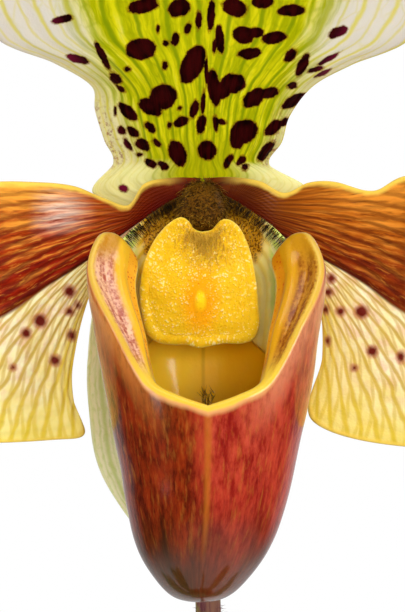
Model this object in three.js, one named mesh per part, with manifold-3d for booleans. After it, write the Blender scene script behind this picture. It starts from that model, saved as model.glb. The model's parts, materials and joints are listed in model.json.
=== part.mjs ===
// A slipper orchid in a clay pot: one spotted flower on a hairy stem above three fans of leaves.
// Millimetres, +Z up. The origin is the middle of the pot's underside. The flower faces -Y.

import * as THREE from 'three';
import { mergeVertices } from 'three/addons/utils/BufferGeometryUtils.js';
import Module from 'manifold-3d';

const wasm = await Module();
wasm.setup();
const { Manifold, Mesh: SolidMesh } = wasm;

// Driving dimensions

const CLEARANCE = 0.3; // gap between pieces that rest on each other
const SOCKET = 0.42; // growth of a faceted piece that leaves about that gap around it

const POT = {
  height: 95,
  baseRadius: 42,
  topRadius: 54,
  collarRadius: 58,
  collarHeight: 20,
  wall: 4.5,
  floor: 6,
  holeRadius: 4.5,
  holeRing: 26,
  holes: 5,
  sides: 44,
};

const MIX = { top: 80, lump: 1.3, sides: 30 };

const CHIP = { count: 12, length: 13, width: 8.5, height: 5, ring: 42, rise: 0.6 };

const ROOT = { radius: 1.8, sides: 6, steps: 9 };

// Each growth: middle of its crown, direction of its leaf fan in degrees, size of the crown
const GROWTHS = [
  { name: 'crown_flowering', x: 2, y: 18, fan: 8, width: 13, thick: 9, height: 22 },
  { name: 'crown_left', x: -25, y: -9, fan: 208, width: 11, thick: 8, height: 20 },
  { name: 'crown_right', x: 19, y: -19, fan: 322, width: 10, thick: 7, height: 16 },
];
const CROWN_SUNK = 5; // how deep a crown sits in the mix
const CROWN_SWELL = [[0, 0.72], [0.3, 1], [0.7, 0.86], [1, 0.52]]; // width by height, as shares

// Each leaf: growth, side of the fan, height up the crown, length, half width,
// angle above level at its foot and at its tip, sideways turn over its length
const LEAVES = [
  { growth: 0, side: 1, foot: 8.7, length: 165, half: 19.5, rise: 30, fall: -29, turn: 6 },
  { growth: 0, side: -1, foot: 8.2, length: 180, half: 20, rise: 25, fall: -26, turn: -27 },
  { growth: 0, side: 1, foot: 13.1, length: 140, half: 20, rise: 40, fall: -24, turn: 30 },
  { growth: 0, side: -1, foot: 12.5, length: 154, half: 19.5, rise: 42, fall: 12, turn: -33 },
  { growth: 0, side: 1, foot: 19.1, length: 93, half: 15.5, rise: 52, fall: 43, turn: 43 },
  { growth: 1, side: 1, foot: 8.5, length: 139, half: 18.5, rise: 44, fall: -22, turn: 28 },
  { growth: 1, side: 1, foot: 13.5, length: 134, half: 18, rise: 43, fall: -13, turn: -19 },
  { growth: 1, side: -1, foot: 9.9, length: 77, half: 14.5, rise: 74, fall: 49, turn: 135 },
  { growth: 1, side: 1, foot: 17.9, length: 77, half: 13.5, rise: 50, fall: 35, turn: 23 },
  { growth: 2, side: 1, foot: 6.8, length: 126, half: 17.5, rise: 47, fall: -13, turn: 2 },
  { growth: 2, side: 1, foot: 11.1, length: 108, half: 16.5, rise: 45, fall: 18, turn: 21 },
  { growth: 2, side: -1, foot: 7.9, length: 69, half: 13, rise: 72, fall: 48, turn: -89 },
  { growth: 2, side: 1, foot: 14.6, length: 70, half: 11.5, rise: 46, fall: 40, turn: -13 },
];
const LEAF = { thickness: 2, along: 11, across: 4 };

const SCAPE = { footRadius: 2.7, headRadius: 2.1, sides: 8, steps: 14 };

// Middle of the flower's front, which every flower piece below is placed from
const FLOWER = new THREE.Vector3(0, -30, 330);

const SHEET = { sepal: 1.1, petal: 1.0, pouch: 1.1, staminode: 1.7 };

// Materials

const finish = (color, roughness) => new THREE.MeshStandardMaterial({ color, roughness, metalness: 0 });
const CLAY = finish('#b5653f', 0.85);
const BARK_MIX = finish('#4b3324', 0.95);
const BARK_CHIP = finish('#7a5233', 0.9);
const ROOT_BROWN = finish('#6d4a2c', 0.9);
const CROWN_GREEN = finish('#86a04e', 0.6);
const LEAF_GREEN = finish('#5d7f3a', 0.5);
const STEM_PURPLE = finish('#5a4030', 0.8);
const BRACT_GREEN = finish('#93a85a', 0.6);
const OVARY_GREEN = finish('#6f7a3c', 0.7);
const DORSAL_GREEN = finish('#c6cf52', 0.45);
const SYNSEPAL_GREEN = finish('#ccd78e', 0.5);
const PETAL_MAHOGANY = finish('#a4470f', 0.35);
const POUCH_RED = finish('#9c3018', 0.25);
const STAMINODE_YELLOW = finish('#f1bd12', 0.4);
const COLUMN_GREEN = finish('#a9a431', 0.6);
const STIGMA_GREEN = finish('#c9c66a', 0.4);
const ANTHER_YELLOW = finish('#d8b23c', 0.5);

// Helpers: smooth tracks, closed solids, joins and cuts

// A smooth path of numbers through stations [t, a, b, ...], as a cubic through each pair
function track(stations) {
  const last = stations.length - 1;
  const slope = (k, c) => {
    const before = stations[Math.max(k - 1, 0)];
    const after = stations[Math.min(k + 1, last)];
    return (after[c] - before[c]) / (after[0] - before[0]);
  };
  return (t) => {
    let k = 0;
    while (k < last - 1 && t > stations[k + 1][0]) k += 1;
    const [from, to] = [stations[k], stations[k + 1]];
    const span = to[0] - from[0];
    const s = (t - from[0]) / span;
    return from.slice(1).map((value, index) => {
      const c = index + 1;
      const rise = to[c] - value;
      const m0 = slope(k, c) * span;
      const m1 = slope(k + 1, c) * span;
      return value + s * m0 + s * s * (3 * rise - 2 * m0 - m1) + s * s * s * (m0 + m1 - 2 * rise);
    });
  };
}

const vector = ([x, y, z]) => new THREE.Vector3(x, y, z);

function indexed(positions, triangles) {
  const geometry = new THREE.BufferGeometry();
  geometry.setAttribute('position', new THREE.Float32BufferAttribute(positions, 3));
  geometry.setIndex(triangles);
  return geometry;
}

function signedVolume(geometry) {
  const at = geometry.getAttribute('position');
  const corner = (n) => new THREE.Vector3().fromBufferAttribute(at, geometry.index.getX(n));
  let total = 0;
  for (let n = 0; n < geometry.index.count; n += 3) {
    total += corner(n).dot(corner(n + 1).cross(corner(n + 2)));
  }
  return total / 6;
}

// The same mesh with its shared corners merged and its faces pointing out
function outward(source) {
  const bare = source.clone();
  bare.deleteAttribute('normal');
  bare.deleteAttribute('uv');
  const geometry = mergeVertices(bare, 1e-4);
  if (signedVolume(geometry) < 0) {
    const order = Array.from(geometry.index.array);
    for (let n = 0; n < order.length; n += 3) [order[n], order[n + 1]] = [order[n + 1], order[n]];
    geometry.setIndex(order);
  }
  return geometry;
}

function toSolid(source) {
  const geometry = outward(source);
  return new Manifold(new SolidMesh({
    numProp: 3,
    vertProperties: new Float32Array(geometry.getAttribute('position').array),
    triVerts: new Uint32Array(geometry.index.array),
  }));
}

function toGeometry(solid) {
  const { vertProperties, triVerts } = solid.getMesh();
  return indexed(Array.from(vertProperties), Array.from(triVerts));
}

const cut = (geometry, tools) =>
  toGeometry(tools.reduce((body, tool) => body.subtract(toSolid(tool)), toSolid(geometry)));

// A closed solid around a curved sheet. point(u, v) is its middle surface, u from -1 to 1 and
// v from 0 to 1, and thickness(u, v) is measured square to it. A ring joins u = 1 to u = -1,
// and a pole gathers the row v = 0 in one point.
function sheet(point, { across, along, thickness, ring = false, pole = false }) {
  const columns = ring ? across : across + 1;
  const small = 1e-3;
  const normalAt = (u, v) => {
    const alongU = point(u + small, v).sub(point(u - small, v));
    const v0 = Math.max(v - small, 0);
    const alongV = point(u, Math.min(v + small, 1)).sub(point(u, v0));
    return alongU.cross(alongV).normalize();
  };
  const positions = [];
  const slot = [new Map(), new Map()];
  [1, -1].forEach((sign, side) => {
    for (let j = 0; j <= along; j += 1) {
      const v = j / along;
      const gathered = pole && j === 0;
      for (let i = 0; i < (gathered ? 1 : columns); i += 1) {
        const u = -1 + (2 * i) / across;
        const normal = new THREE.Vector3();
        if (gathered) {
          for (let k = 0; k < across; k += 1) normal.add(normalAt(-1 + (2 * k) / across, 0.02));
          normal.normalize();
        } else {
          normal.copy(normalAt(u, v));
        }
        const place = point(u, v).addScaledVector(normal, (sign * thickness(u, v)) / 2);
        slot[side].set(`${i},${j}`, positions.length / 3);
        positions.push(place.x, place.y, place.z);
      }
    }
  });
  const corner = (side, i, j) => slot[side].get(`${pole && j === 0 ? 0 : i % columns},${j}`);
  const triangles = [];
  const quad = (a, b, c, d) => {
    if (a !== b) triangles.push(a, b, c);
    if (c !== d) triangles.push(a, c, d);
  };
  for (let j = 0; j < along; j += 1) {
    for (let i = 0; i < across; i += 1) {
      const front = [[i, j], [i + 1, j], [i + 1, j + 1], [i, j + 1]].map(([a, b]) => corner(0, a, b));
      const back = [[i, j], [i, j + 1], [i + 1, j + 1], [i + 1, j]].map(([a, b]) => corner(1, a, b));
      quad(...front);
      if (back[0] !== back[3]) triangles.push(back[0], back[2], back[3]);
      triangles.push(back[0], back[1], back[2]);
    }
  }
  for (let i = 0; i < across; i += 1) {
    if (!pole) quad(corner(1, i, 0), corner(1, i + 1, 0), corner(0, i + 1, 0), corner(0, i, 0));
    quad(corner(0, i, along), corner(0, i + 1, along), corner(1, i + 1, along), corner(1, i, along));
  }
  for (let j = 0; j < along && !ring; j += 1) {
    quad(corner(0, 0, j), corner(0, 0, j + 1), corner(1, 0, j + 1), corner(1, 0, j));
    quad(corner(1, across, j), corner(1, across, j + 1), corner(0, across, j + 1), corner(0, across, j));
  }
  return indexed(positions, triangles);
}

// A closed rod of changing radius: rings square to a path, with a flat cap at each end
function rod(path, radiusAt, { sides, steps, sideways = new THREE.Vector3(1, 0, 0) }) {
  const positions = [];
  for (let j = 0; j <= steps; j += 1) {
    const t = j / steps;
    const [rx, ry] = [radiusAt(t)].flat().concat(radiusAt(t));
    const tangent = path.getTangent(t);
    const first = sideways.clone().addScaledVector(tangent, -sideways.dot(tangent)).normalize();
    const second = tangent.clone().cross(first);
    for (let i = 0; i < sides; i += 1) {
      const angle = (2 * Math.PI * i) / sides;
      const place = path.getPoint(t)
        .addScaledVector(first, rx * Math.cos(angle))
        .addScaledVector(second, ry * Math.sin(angle));
      positions.push(place.x, place.y, place.z);
    }
  }
  const triangles = [];
  for (let j = 0; j < steps; j += 1) {
    for (let i = 0; i < sides; i += 1) {
      const next = (i + 1) % sides;
      const [a, b] = [j * sides + i, j * sides + next];
      triangles.push(a, b, b + sides, a, b + sides, a + sides);
    }
  }
  const lastRing = steps * sides;
  for (let i = 1; i < sides - 1; i += 1) {
    triangles.push(0, i + 1, i, lastRing, lastRing + i, lastRing + i + 1);
  }
  return indexed(positions, triangles);
}

const curve = (points) => new THREE.CatmullRomCurve3(points.map(vector), false, 'centripetal');

const plant = new THREE.Group();
const flower = new THREE.Group();
flower.position.copy(FLOWER);
plant.add(flower);

function add(name, geometry, material, group = plant) {
  const mesh = new THREE.Mesh(outward(geometry), material);
  mesh.name = name;
  group.add(mesh);
  return mesh;
}

// Pot

const wallRadius = (z) => THREE.MathUtils.lerp(POT.baseRadius, POT.topRadius, z / POT.height);

function potGeometry() {
  const collarFoot = POT.height - POT.collarHeight;
  const insideFoot = wallRadius(POT.floor) - POT.wall;
  const insideTop = wallRadius(POT.height) - POT.wall;
  const profile = [
    [0, 0],
    [POT.baseRadius - 1, 0],
    [POT.baseRadius, 1.2],
    [wallRadius(collarFoot), collarFoot],
    [POT.collarRadius - 1.2, collarFoot + 0.8],
    [POT.collarRadius - 0.6, collarFoot + 2.2],
    [POT.collarRadius, POT.height - 1.6],
    [POT.collarRadius - 1.2, POT.height],
    [insideTop + 1, POT.height],
    [insideTop, POT.height - 1.2],
    [insideFoot, POT.floor],
    [0, POT.floor],
  ].map(([r, z]) => new THREE.Vector2(r, z));
  const body = new THREE.LatheGeometry(profile, POT.sides);
  body.rotateX(Math.PI / 2);
  const holes = Array.from({ length: POT.holes }, (_, k) => {
    const hole = new THREE.CylinderGeometry(POT.holeRadius, POT.holeRadius, 3 * POT.floor, 12);
    const angle = (2 * Math.PI * (k + 0.5)) / POT.holes;
    hole.rotateX(Math.PI / 2);
    hole.translate(POT.holeRing * Math.cos(angle), POT.holeRing * Math.sin(angle), POT.floor / 2);
    return hole;
  });
  return cut(body, holes);
}

add('pot', potGeometry(), CLAY);

// Crowns and roots: a crown is an oval stub, sunk a little in the mix

function crownGeometry(growth, grow = 0) {
  const { x, y, fan, width, thick, height } = growth;
  const foot = MIX.top - CROWN_SUNK - grow;
  const path = curve([[x, y, foot], [x, y, foot + height * 0.5], [x, y, foot + height + 2 * grow]]);
  const swell = track(CROWN_SWELL);
  const radius = (t) => [(width / 2) * swell(t)[0] + grow, (thick / 2) * swell(t)[0] + grow];
  const angle = THREE.MathUtils.degToRad(fan);
  const sideways = new THREE.Vector3(Math.cos(angle), Math.sin(angle), 0);
  return rod(path, radius, { sides: 10, steps: 5, sideways });
}

// Each growth has two roots, which leave its foot and run out and down through the mix
function rootGeometry(growth, side, grow = 0) {
  const turn = Math.atan2(growth.y, growth.x) + side;
  const out = new THREE.Vector2(Math.cos(turn), Math.sin(turn));
  const foot = MIX.top - CROWN_SUNK - CLEARANCE;
  const from = new THREE.Vector2(growth.x, growth.y).addScaledVector(out, 2.5);
  const reach = (distance, z) => [from.x + out.x * distance, from.y + out.y * distance, z];
  const path = curve([
    reach(0, foot + grow),
    reach(0.1, foot - 4),
    reach(6, foot - 20),
    reach(11, foot - 38),
    reach(6, 24 - grow),
  ]);
  return rod(path, () => ROOT.radius + grow, { sides: ROOT.sides, steps: ROOT.steps });
}

const roots = GROWTHS.flatMap((growth) => [-1, 1].map((side) => [growth, side]));
GROWTHS.forEach((growth) => add(growth.name, crownGeometry(growth), CROWN_GREEN));
roots.forEach(([growth, side], k) => add(`root_${k + 1}`, rootGeometry(growth, side), ROOT_BROWN));

// Bark chips: flattened lumps around the edge of the mix, each sunk part of the way in

function chipGeometry(k, grow = 0) {
  const spread = (step) => (k * step) % 1;
  const chip = new THREE.IcosahedronGeometry(1, 0);
  chip.scale(
    CHIP.length * (0.38 + 0.14 * spread(0.37)) + grow,
    CHIP.width * (0.4 + 0.12 * spread(0.61)) + grow,
    CHIP.height * (0.42 + 0.12 * spread(0.83)) + grow,
  );
  chip.rotateX(0.35 * (spread(0.29) - 0.5));
  chip.rotateY(0.3 * (spread(0.71) - 0.5));
  chip.rotateZ(2.4 * Math.PI * spread(0.43));
  const angle = (2 * Math.PI * (k + 0.35 * spread(0.57))) / CHIP.count;
  const ring = CHIP.ring - 5.5 * spread(0.47);
  chip.translate(ring * Math.cos(angle), ring * Math.sin(angle), MIX.top + CHIP.rise);
  return chip;
}

const chipNumbers = Array.from({ length: CHIP.count }, (_, k) => k);
chipNumbers.forEach((k) => {
  add(`bark_chip_${String(k + 1).padStart(2, '0')}`, chipGeometry(k), BARK_CHIP);
});

// Potting mix: fills the pot up to a lumpy top, with room for everything sunk in it

function mixGeometry() {
  const inside = (z) => THREE.MathUtils.lerp(
    wallRadius(POT.floor),
    wallRadius(POT.height),
    (z - POT.floor) / (POT.height - POT.floor),
  ) - POT.wall - CLEARANCE - 0.15;
  const profile = [
    [0, POT.floor + CLEARANCE],
    [inside(POT.floor) - 0.3, POT.floor + CLEARANCE],
    [inside(MIX.top) - 0.4, MIX.top - 2],
    [38, MIX.top],
    [26, MIX.top],
    [13, MIX.top],
    [0, MIX.top],
  ].map(([r, z]) => new THREE.Vector2(r, z));
  const body = new THREE.LatheGeometry(profile, MIX.sides);
  body.rotateX(Math.PI / 2);
  const at = body.getAttribute('position');
  for (let n = 0; n < at.count; n += 1) {
    const [x, y, z] = [at.getX(n), at.getY(n), at.getZ(n)];
    const lump = Math.sin(0.31 * x + 1) * Math.cos(0.27 * y) + 0.6 * Math.sin(0.23 * (x - y));
    if (z > MIX.top - 1 && Math.hypot(x, y) > 0.1) at.setZ(n, z + MIX.lump * lump * 0.6);
  }
  const sunk = [
    ...GROWTHS.map((growth) => crownGeometry(growth, SOCKET)),
    ...roots.map(([growth, side]) => rootGeometry(growth, side, SOCKET)),
    ...chipNumbers.map((k) => chipGeometry(k, SOCKET)),
  ];
  return cut(body, sunk);
}

add('potting_mix', mixGeometry(), BARK_MIX);

// Leaves: folded along the middle at the foot, opening to a shallow channel

function leafPath({ growth, side, foot, length, rise, fall, turn }) {
  const { x, y, fan, width, height } = GROWTHS[growth];
  const points = [];
  const steps = 40;
  const start = THREE.MathUtils.degToRad(fan + (side < 0 ? 180 : 0));
  const crownHalf = (width / 2) * track(CROWN_SWELL)(foot / height)[0];
  const tilt = Math.sin(THREE.MathUtils.degToRad(rise));
  const reach = crownHalf + CLEARANCE + (LEAF.thickness / 2) * tilt;
  const place = new THREE.Vector3(
    x + reach * Math.cos(start),
    y + reach * Math.sin(start),
    MIX.top - CROWN_SUNK + foot,
  );
  for (let n = 0; n <= steps; n += 1) {
    points.push(place.clone());
    const t = (n + 0.5) / steps;
    const climb = THREE.MathUtils.degToRad(THREE.MathUtils.lerp(rise, fall, t ** 1.15));
    const heading = start + THREE.MathUtils.degToRad(turn) * t;
    const step = length / steps;
    place.x += step * Math.cos(climb) * Math.cos(heading);
    place.y += step * Math.cos(climb) * Math.sin(heading);
    place.z += step * Math.sin(climb);
  }
  return new THREE.CatmullRomCurve3(points);
}

const leafWidth = track([[0, 0.16], [0.12, 0.3], [0.32, 0.82], [0.55, 1], [0.78, 0.86], [0.92, 0.5], [1, 0.07]]);
const leafFold = track([[0, 20], [0.1, 44], [0.3, 32], [0.5, 17], [1, 8]]);

function leafGeometry(leaf) {
  const path = leafPath(leaf);
  const point = (u, v) => {
    const tangent = path.getTangent(v);
    const level = new THREE.Vector3(0, 0, 1).cross(tangent).normalize();
    const above = tangent.clone().cross(level);
    const half = leaf.half * leafWidth(v)[0];
    const fold = THREE.MathUtils.degToRad(leafFold(v)[0]);
    const keel = Math.sqrt(u * u + 0.02) - Math.sqrt(0.02);
    return path.getPoint(v)
      .addScaledVector(level, u * half * Math.cos(fold))
      .addScaledVector(above, keel * half * Math.sin(fold));
  };
  return sheet(point, {
    across: LEAF.across,
    along: LEAF.along,
    thickness: (u, v) => LEAF.thickness * (1 - 0.35 * v) * (1 - 0.4 * u * u),
  });
}

LEAVES.forEach((leaf, k) => {
  add(`leaf_${String(k + 1).padStart(2, '0')}`, leafGeometry(leaf), LEAF_GREEN);
});

// Flower stem, bract and ovary

const flowering = GROWTHS[0];
const scapeFoot = MIX.top - CROWN_SUNK + flowering.height + CLEARANCE + 0.1;
const OVARY_FOOT = [0, 21, 314];
const scapePath = curve([
  [flowering.x, flowering.y, scapeFoot],
  [2.6, 18.4, 150],
  [3.2, 19, 210],
  [1.2, 20.5, 270],
  [0, 21, OVARY_FOOT[2] - CLEARANCE - 0.2],
]);
const scapeRadius = (t) => THREE.MathUtils.lerp(SCAPE.footRadius, SCAPE.headRadius, t);
add('scape', rod(scapePath, scapeRadius, SCAPE), STEM_PURPLE);

const OVARY_END = 16.3; // its front end, behind the middle of the flower's front
const ovaryPath = curve([
  OVARY_FOOT,
  [0, 20, 327],
  [0, 12.5, 338],
  [0, 0, 345.5],
  [0, FLOWER.y + OVARY_END, FLOWER.z + 17],
]);
const ovaryRadius = track([[0, 2.1], [0.3, 2.7], [0.7, 3.2], [0.92, 2.9], [1, 2.6]]);
add('ovary', rod(ovaryPath, (t) => ovaryRadius(t)[0], { sides: 10, steps: 10 }), OVARY_GREEN);

// The bract wraps the back and sides of the stem's head and points up behind the ovary
function bractPoint(u, v) {
  const [radius, lean] = track([[0, 3.1, 0], [0.4, 4.1, 0.6], [0.8, 3.4, 2.2], [1, 1.3, 3.2]])(v);
  const open = THREE.MathUtils.degToRad(118 * (1 - 0.55 * v * v));
  const angle = Math.PI / 2 + u * open;
  const height = OVARY_FOOT[2] - 8 + 21 * v;
  return new THREE.Vector3(radius * Math.cos(angle), 21 + lean + radius * Math.sin(angle), height);
}
add('bract', sheet(bractPoint, { across: 8, along: 6, thickness: () => 0.8 }), BRACT_GREEN);

// Flower sheets: each row runs through a margin, the midline and the other margin

function threeCurveSheet(low, middle, high) {
  const [lowAt, middleAt, highAt] = [track(low), track(middle), track(high)];
  return (u, v) => {
    const [a, b, c] = [vector(lowAt(v)), vector(middleAt(v)), vector(highAt(v))];
    return a.multiplyScalar((u * (u - 1)) / 2)
      .addScaledVector(b, 1 - u * u)
      .addScaledVector(c, (u * (u + 1)) / 2);
  };
}

// Dorsal sepal: [way up, x, y, z] of its left margin, middle and right margin
const dorsalPoint = threeCurveSheet(
  [
    [0, -2.6, 15.2, 18.0],
    [0.06, -11.0, 17.6, 15.6],
    [0.12, -18.0, 19.0, 18.6],
    [0.18, -14.6, 18.0, 23.2],
    [0.26, -16.0, 17.0, 27.0],
    [0.34, -17.4, 15.5, 31.6],
    [0.42, -18.0, 13.5, 35.6],
    [0.5, -24.0, 10.5, 39.0],
    [0.58, -32.6, 8.0, 42.4],
    [0.7, -37.0, 4.0, 52.0],
    [0.82, -33.0, 0.0, 62.5],
    [0.92, -21.0, -4.0, 70.8],
    [1, -3.0, -6.5, 75.2],
  ],
  [
    [0, 0, 15.0, 18.4],
    [0.12, 0, 14.4, 21.5],
    [0.26, 0, 12.6, 27.0],
    [0.42, 0, 9.8, 34.5],
    [0.58, 0, 6.6, 43.5],
    [0.7, 0, 3.4, 51.5],
    [0.82, 0, -0.4, 60.5],
    [0.92, 0, -4.0, 69.0],
    [1, 0, -6.9, 75.6],
  ],
  [
    [0, 2.6, 15.2, 18.0],
    [0.06, 10.5, 17.6, 15.8],
    [0.12, 17.2, 19.0, 18.8],
    [0.18, 10.9, 18.0, 22.8],
    [0.26, 12.9, 16.0, 26.8],
    [0.34, 14.2, 14.5, 31.0],
    [0.42, 18.0, 12.5, 35.6],
    [0.5, 24.0, 10.0, 38.6],
    [0.58, 32.6, 8.0, 42.1],
    [0.7, 37.5, 4.0, 51.5],
    [0.82, 33.5, 0.0, 62.0],
    [0.92, 21.5, -4.0, 70.4],
    [1, 3.0, -6.5, 75.2],
  ],
);
const dorsal = sheet(dorsalPoint, { across: 10, along: 16, thickness: () => SHEET.sepal });
add('dorsal_sepal', dorsal, DORSAL_GREEN, flower);

const synsepalPoint = threeCurveSheet(
  [
    [0, -2.6, 15.2, 15.6],
    [0.12, -10.5, 17.2, 11.0],
    [0.25, -17.0, 18.4, 2.0],
    [0.4, -18.8, 18.8, -9.0],
    [0.55, -18.4, 18.4, -17.5],
    [0.7, -17.0, 18.0, -25.5],
    [0.82, -13.6, 17.2, -32.0],
    [0.92, -8.4, 16.4, -38.6],
    [1, -2.0, 15.8, -43.5],
  ],
  [
    [0, 0, 15.0, 15.2],
    [0.12, -0.2, 15.6, 9.5],
    [0.4, -0.8, 16.6, -9.0],
    [0.7, -1.0, 16.8, -26.0],
    [1, -0.8, 15.6, -44.0],
  ],
  [
    [0, 2.6, 15.2, 15.6],
    [0.12, 10.0, 17.2, 11.0],
    [0.25, 16.4, 18.4, 2.0],
    [0.4, 18.2, 18.8, -9.0],
    [0.55, 16.6, 18.4, -18.5],
    [0.7, 13.0, 18.0, -28.0],
    [0.82, 9.4, 17.2, -34.5],
    [0.92, 5.2, 16.4, -39.8],
    [1, 0.6, 15.8, -43.5],
  ],
);
const synsepal = sheet(synsepalPoint, { across: 8, along: 11, thickness: () => SHEET.sepal });
add('synsepal', synsepal, SYNSEPAL_GREEN, flower);

// Petals: lower margin, midrib and upper margin, from the middle of the flower to the tip
const petalLeft = threeCurveSheet(
  [
    [0, -2.4, 13.2, 17.2],
    [0.1, -5.0, 12.8, 15.6],
    [0.2, -9.0, 12.4, 13.0],
    [0.3, -14.8, 12.0, 9.6],
    [0.42, -18.6, 12.0, 1.5],
    [0.54, -20.9, 12.2, -10.0],
    [0.6, -20.6, 12.1, -15.5],
    [0.66, -18.9, 12.0, -20.5],
    [0.72, -23.6, 11.0, -21.4],
    [0.8, -37.0, 8.4, -21.7],
    [0.92, -56.0, 3.4, -19.4],
    [1, -65.4, 1.0, -10.6],
  ],
  [
    [0, -2.4, 13.4, 18.4],
    [0.1, -5.0, 12.8, 16.9],
    [0.2, -8.6, 12.3, 14.5],
    [0.3, -13.2, 11.6, 11.2],
    [0.42, -18.8, 10.6, 7.0],
    [0.54, -24.6, 9.6, 3.2],
    [0.66, -32.3, 8.2, -2.0],
    [0.8, -46.0, 5.4, -6.6],
    [0.92, -58.0, 2.6, -8.4],
    [1, -66.4, 0.6, -8.4],
  ],
  [
    [0, -2.4, 13.4, 20.2],
    [0.1, -5.2, 12.6, 20.4],
    [0.2, -9.4, 12.2, 19.6],
    [0.27, -12.0, 12.6, 16.2],
    [0.34, -16.0, 12.0, 17.4],
    [0.42, -20.6, 11.0, 19.2],
    [0.54, -27.2, 10.0, 19.8],
    [0.66, -34.6, 8.4, 19.6],
    [0.8, -50.0, 4.8, 17.4],
    [0.92, -61.4, 2.0, 9.4],
    [1, -66.0, 0.6, -5.4],
  ],
);
const petalRight = threeCurveSheet(
  [
    [0, 2.4, 13.2, 17.2],
    [0.1, 5.0, 12.8, 15.6],
    [0.2, 9.0, 12.4, 13.0],
    [0.3, 14.8, 12.0, 9.4],
    [0.42, 18.6, 12.0, 1.5],
    [0.54, 19.2, 12.2, -8.0],
    [0.66, 17.8, 12.0, -18.6],
    [0.8, 36.0, 8.4, -22.6],
    [0.92, 55.6, 3.4, -19.8],
    [1, 65.4, 1.0, -11.0],
  ],
  [
    [0, 2.4, 13.4, 18.4],
    [0.1, 5.0, 12.8, 16.9],
    [0.2, 8.6, 12.3, 14.5],
    [0.3, 13.2, 11.6, 11.0],
    [0.42, 19.4, 10.6, 7.4],
    [0.54, 25.4, 9.6, 3.8],
    [0.66, 33.0, 8.2, -1.6],
    [0.8, 46.0, 5.4, -6.4],
    [0.92, 58.0, 2.6, -8.8],
    [1, 66.4, 0.6, -9.0],
  ],
  [
    [0, 2.4, 13.4, 20.4],
    [0.1, 5.2, 12.6, 20.6],
    [0.2, 9.4, 12.2, 20.0],
    [0.27, 13.2, 12.6, 18.2],
    [0.34, 17.0, 12.0, 19.8],
    [0.42, 21.0, 11.0, 19.9],
    [0.54, 27.2, 10.0, 18.4],
    [0.66, 33.6, 8.4, 20.8],
    [0.8, 50.0, 4.8, 18.0],
    [0.92, 61.2, 2.0, 9.6],
    [1, 66.0, 0.6, -5.8],
  ],
);
const petalSize = { across: 8, along: 17, thickness: () => SHEET.petal };
add('petal_left', sheet(petalLeft, petalSize), PETAL_MAHOGANY, flower);
add('petal_right', sheet(petalRight, petalSize), PETAL_MAHOGANY, flower);

// Pouch: oval rings from the tip up, [way up, z, half width, half depth, middle y, middle x]
const pouchRing = track([
  [0, -44.8, 0, 0, -5.5, -0.45],
  [0.08, -43.9, 3.7, 3.5, -5.6, -0.4],
  [0.16, -41.5, 6.4, 6.1, -5.8, -0.25],
  [0.26, -37.2, 9.3, 8.7, -5.8, 0.1],
  [0.38, -31.0, 11.5, 10.8, -5.4, 0.55],
  [0.52, -23.0, 13.2, 12.4, -4.8, 0.75],
  [0.66, -14.0, 15.1, 13.5, -4.4, 0.8],
  [0.8, -3.0, 16.9, 14.3, -4.0, 0.7],
  [0.9, 5.0, 17.9, 15.0, -3.9, 0.55],
  [0.96, 9.8, 16.6, 15.6, -4.0, 0.4],
  [1, 13.0, 14.6, 16.9, -4.2, 0.25],
]);
// The rim, by angle from the front in half turns: how far up the pouch it stands, and how
// far the wall turns in from it
const pouchRim = track([
  [0, 0.64, 1.3],
  [0.1, 0.662, 1.4],
  [0.19, 0.689, 1.8],
  [0.29, 0.79, 6.8],
  [0.37, 0.845, 8.2],
  [0.45, 0.9, 8.7],
  [0.53, 0.955, 7.6],
  [0.62, 0.975, 3.8],
  [0.75, 0.99, 1.7],
  [0.88, 1, 1.3],
  [1, 1, 1.2],
]);
const POUCH_WALL_SHARE = 0.8; // part of a row that is wall, and the rest is turned in

function pouchPoint(u, v) {
  const angle = Math.PI * u;
  const [top, turnedIn] = pouchRim(Math.min(Math.abs(u), 1));
  const climb = Math.min(v / POUCH_WALL_SHARE, 1);
  const [z, half, depth, middleY, middleX] = pouchRing(top * climb);
  const place = new THREE.Vector3(
    middleX + half * Math.sin(angle),
    middleY - depth * Math.cos(angle),
    z,
  );
  const over = Math.max(v - POUCH_WALL_SHARE, 0) / (1 - POUCH_WALL_SHARE);
  const inward = new THREE.Vector3(-Math.sin(angle), 0.55 + 0.45 * Math.cos(angle), 0).normalize();
  place.addScaledVector(inward, turnedIn * over);
  place.z += 0.5 * Math.sin(Math.PI * over) - 0.35 * turnedIn * over * over;
  return place;
}
const pouch = sheet(pouchPoint, {
  across: 30,
  along: 15,
  thickness: () => SHEET.pouch,
  ring: true,
  pole: true,
});
add('pouch', pouch, POUCH_RED, flower);

// Column: stout, from the ovary's end forward and down to the back of the staminode
const columnPath = curve([[0, 13.9, 17.2], [0, 10.5, 17.2], [0, 6.2, 15.2], [0, 2.8, 11.7]]);
const columnRadius = track([[0, 1.8], [0.25, 2.6], [0.65, 4.1], [1, 3.6]]);
const column = rod(columnPath, (t) => columnRadius(t)[0], { sides: 12, steps: 6 });
add('column', column, COLUMN_GREEN, flower);

// Staminode: a domed shield, by angle from straight up in half turns and distance out
const staminodeEdge = track([
  [-1, 9.5],
  [-0.8, 10.1],
  [-0.62, 9.4],
  [-0.45, 8.6],
  [-0.28, 9.0],
  [-0.12, 10.5],
  [0, 8.3],
  [0.09, 10.2],
  [0.28, 9.0],
  [0.45, 8.6],
  [0.62, 9.5],
  [0.8, 10.1],
  [1, 9.5],
]);
function staminodePoint(u, v) {
  const angle = Math.PI * u;
  const reach = staminodeEdge(u)[0] * v;
  return new THREE.Vector3(-0.6 - reach * Math.sin(angle), 2.2 * v * v - 1.4, 3.4 + reach * Math.cos(angle));
}
const staminode = sheet(staminodePoint, {
  across: 22,
  along: 4,
  thickness: (u, v) => SHEET.staminode * (1 - 0.35 * v),
  ring: true,
  pole: true,
});
add('staminode', staminode, STAMINODE_YELLOW, flower);

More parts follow.
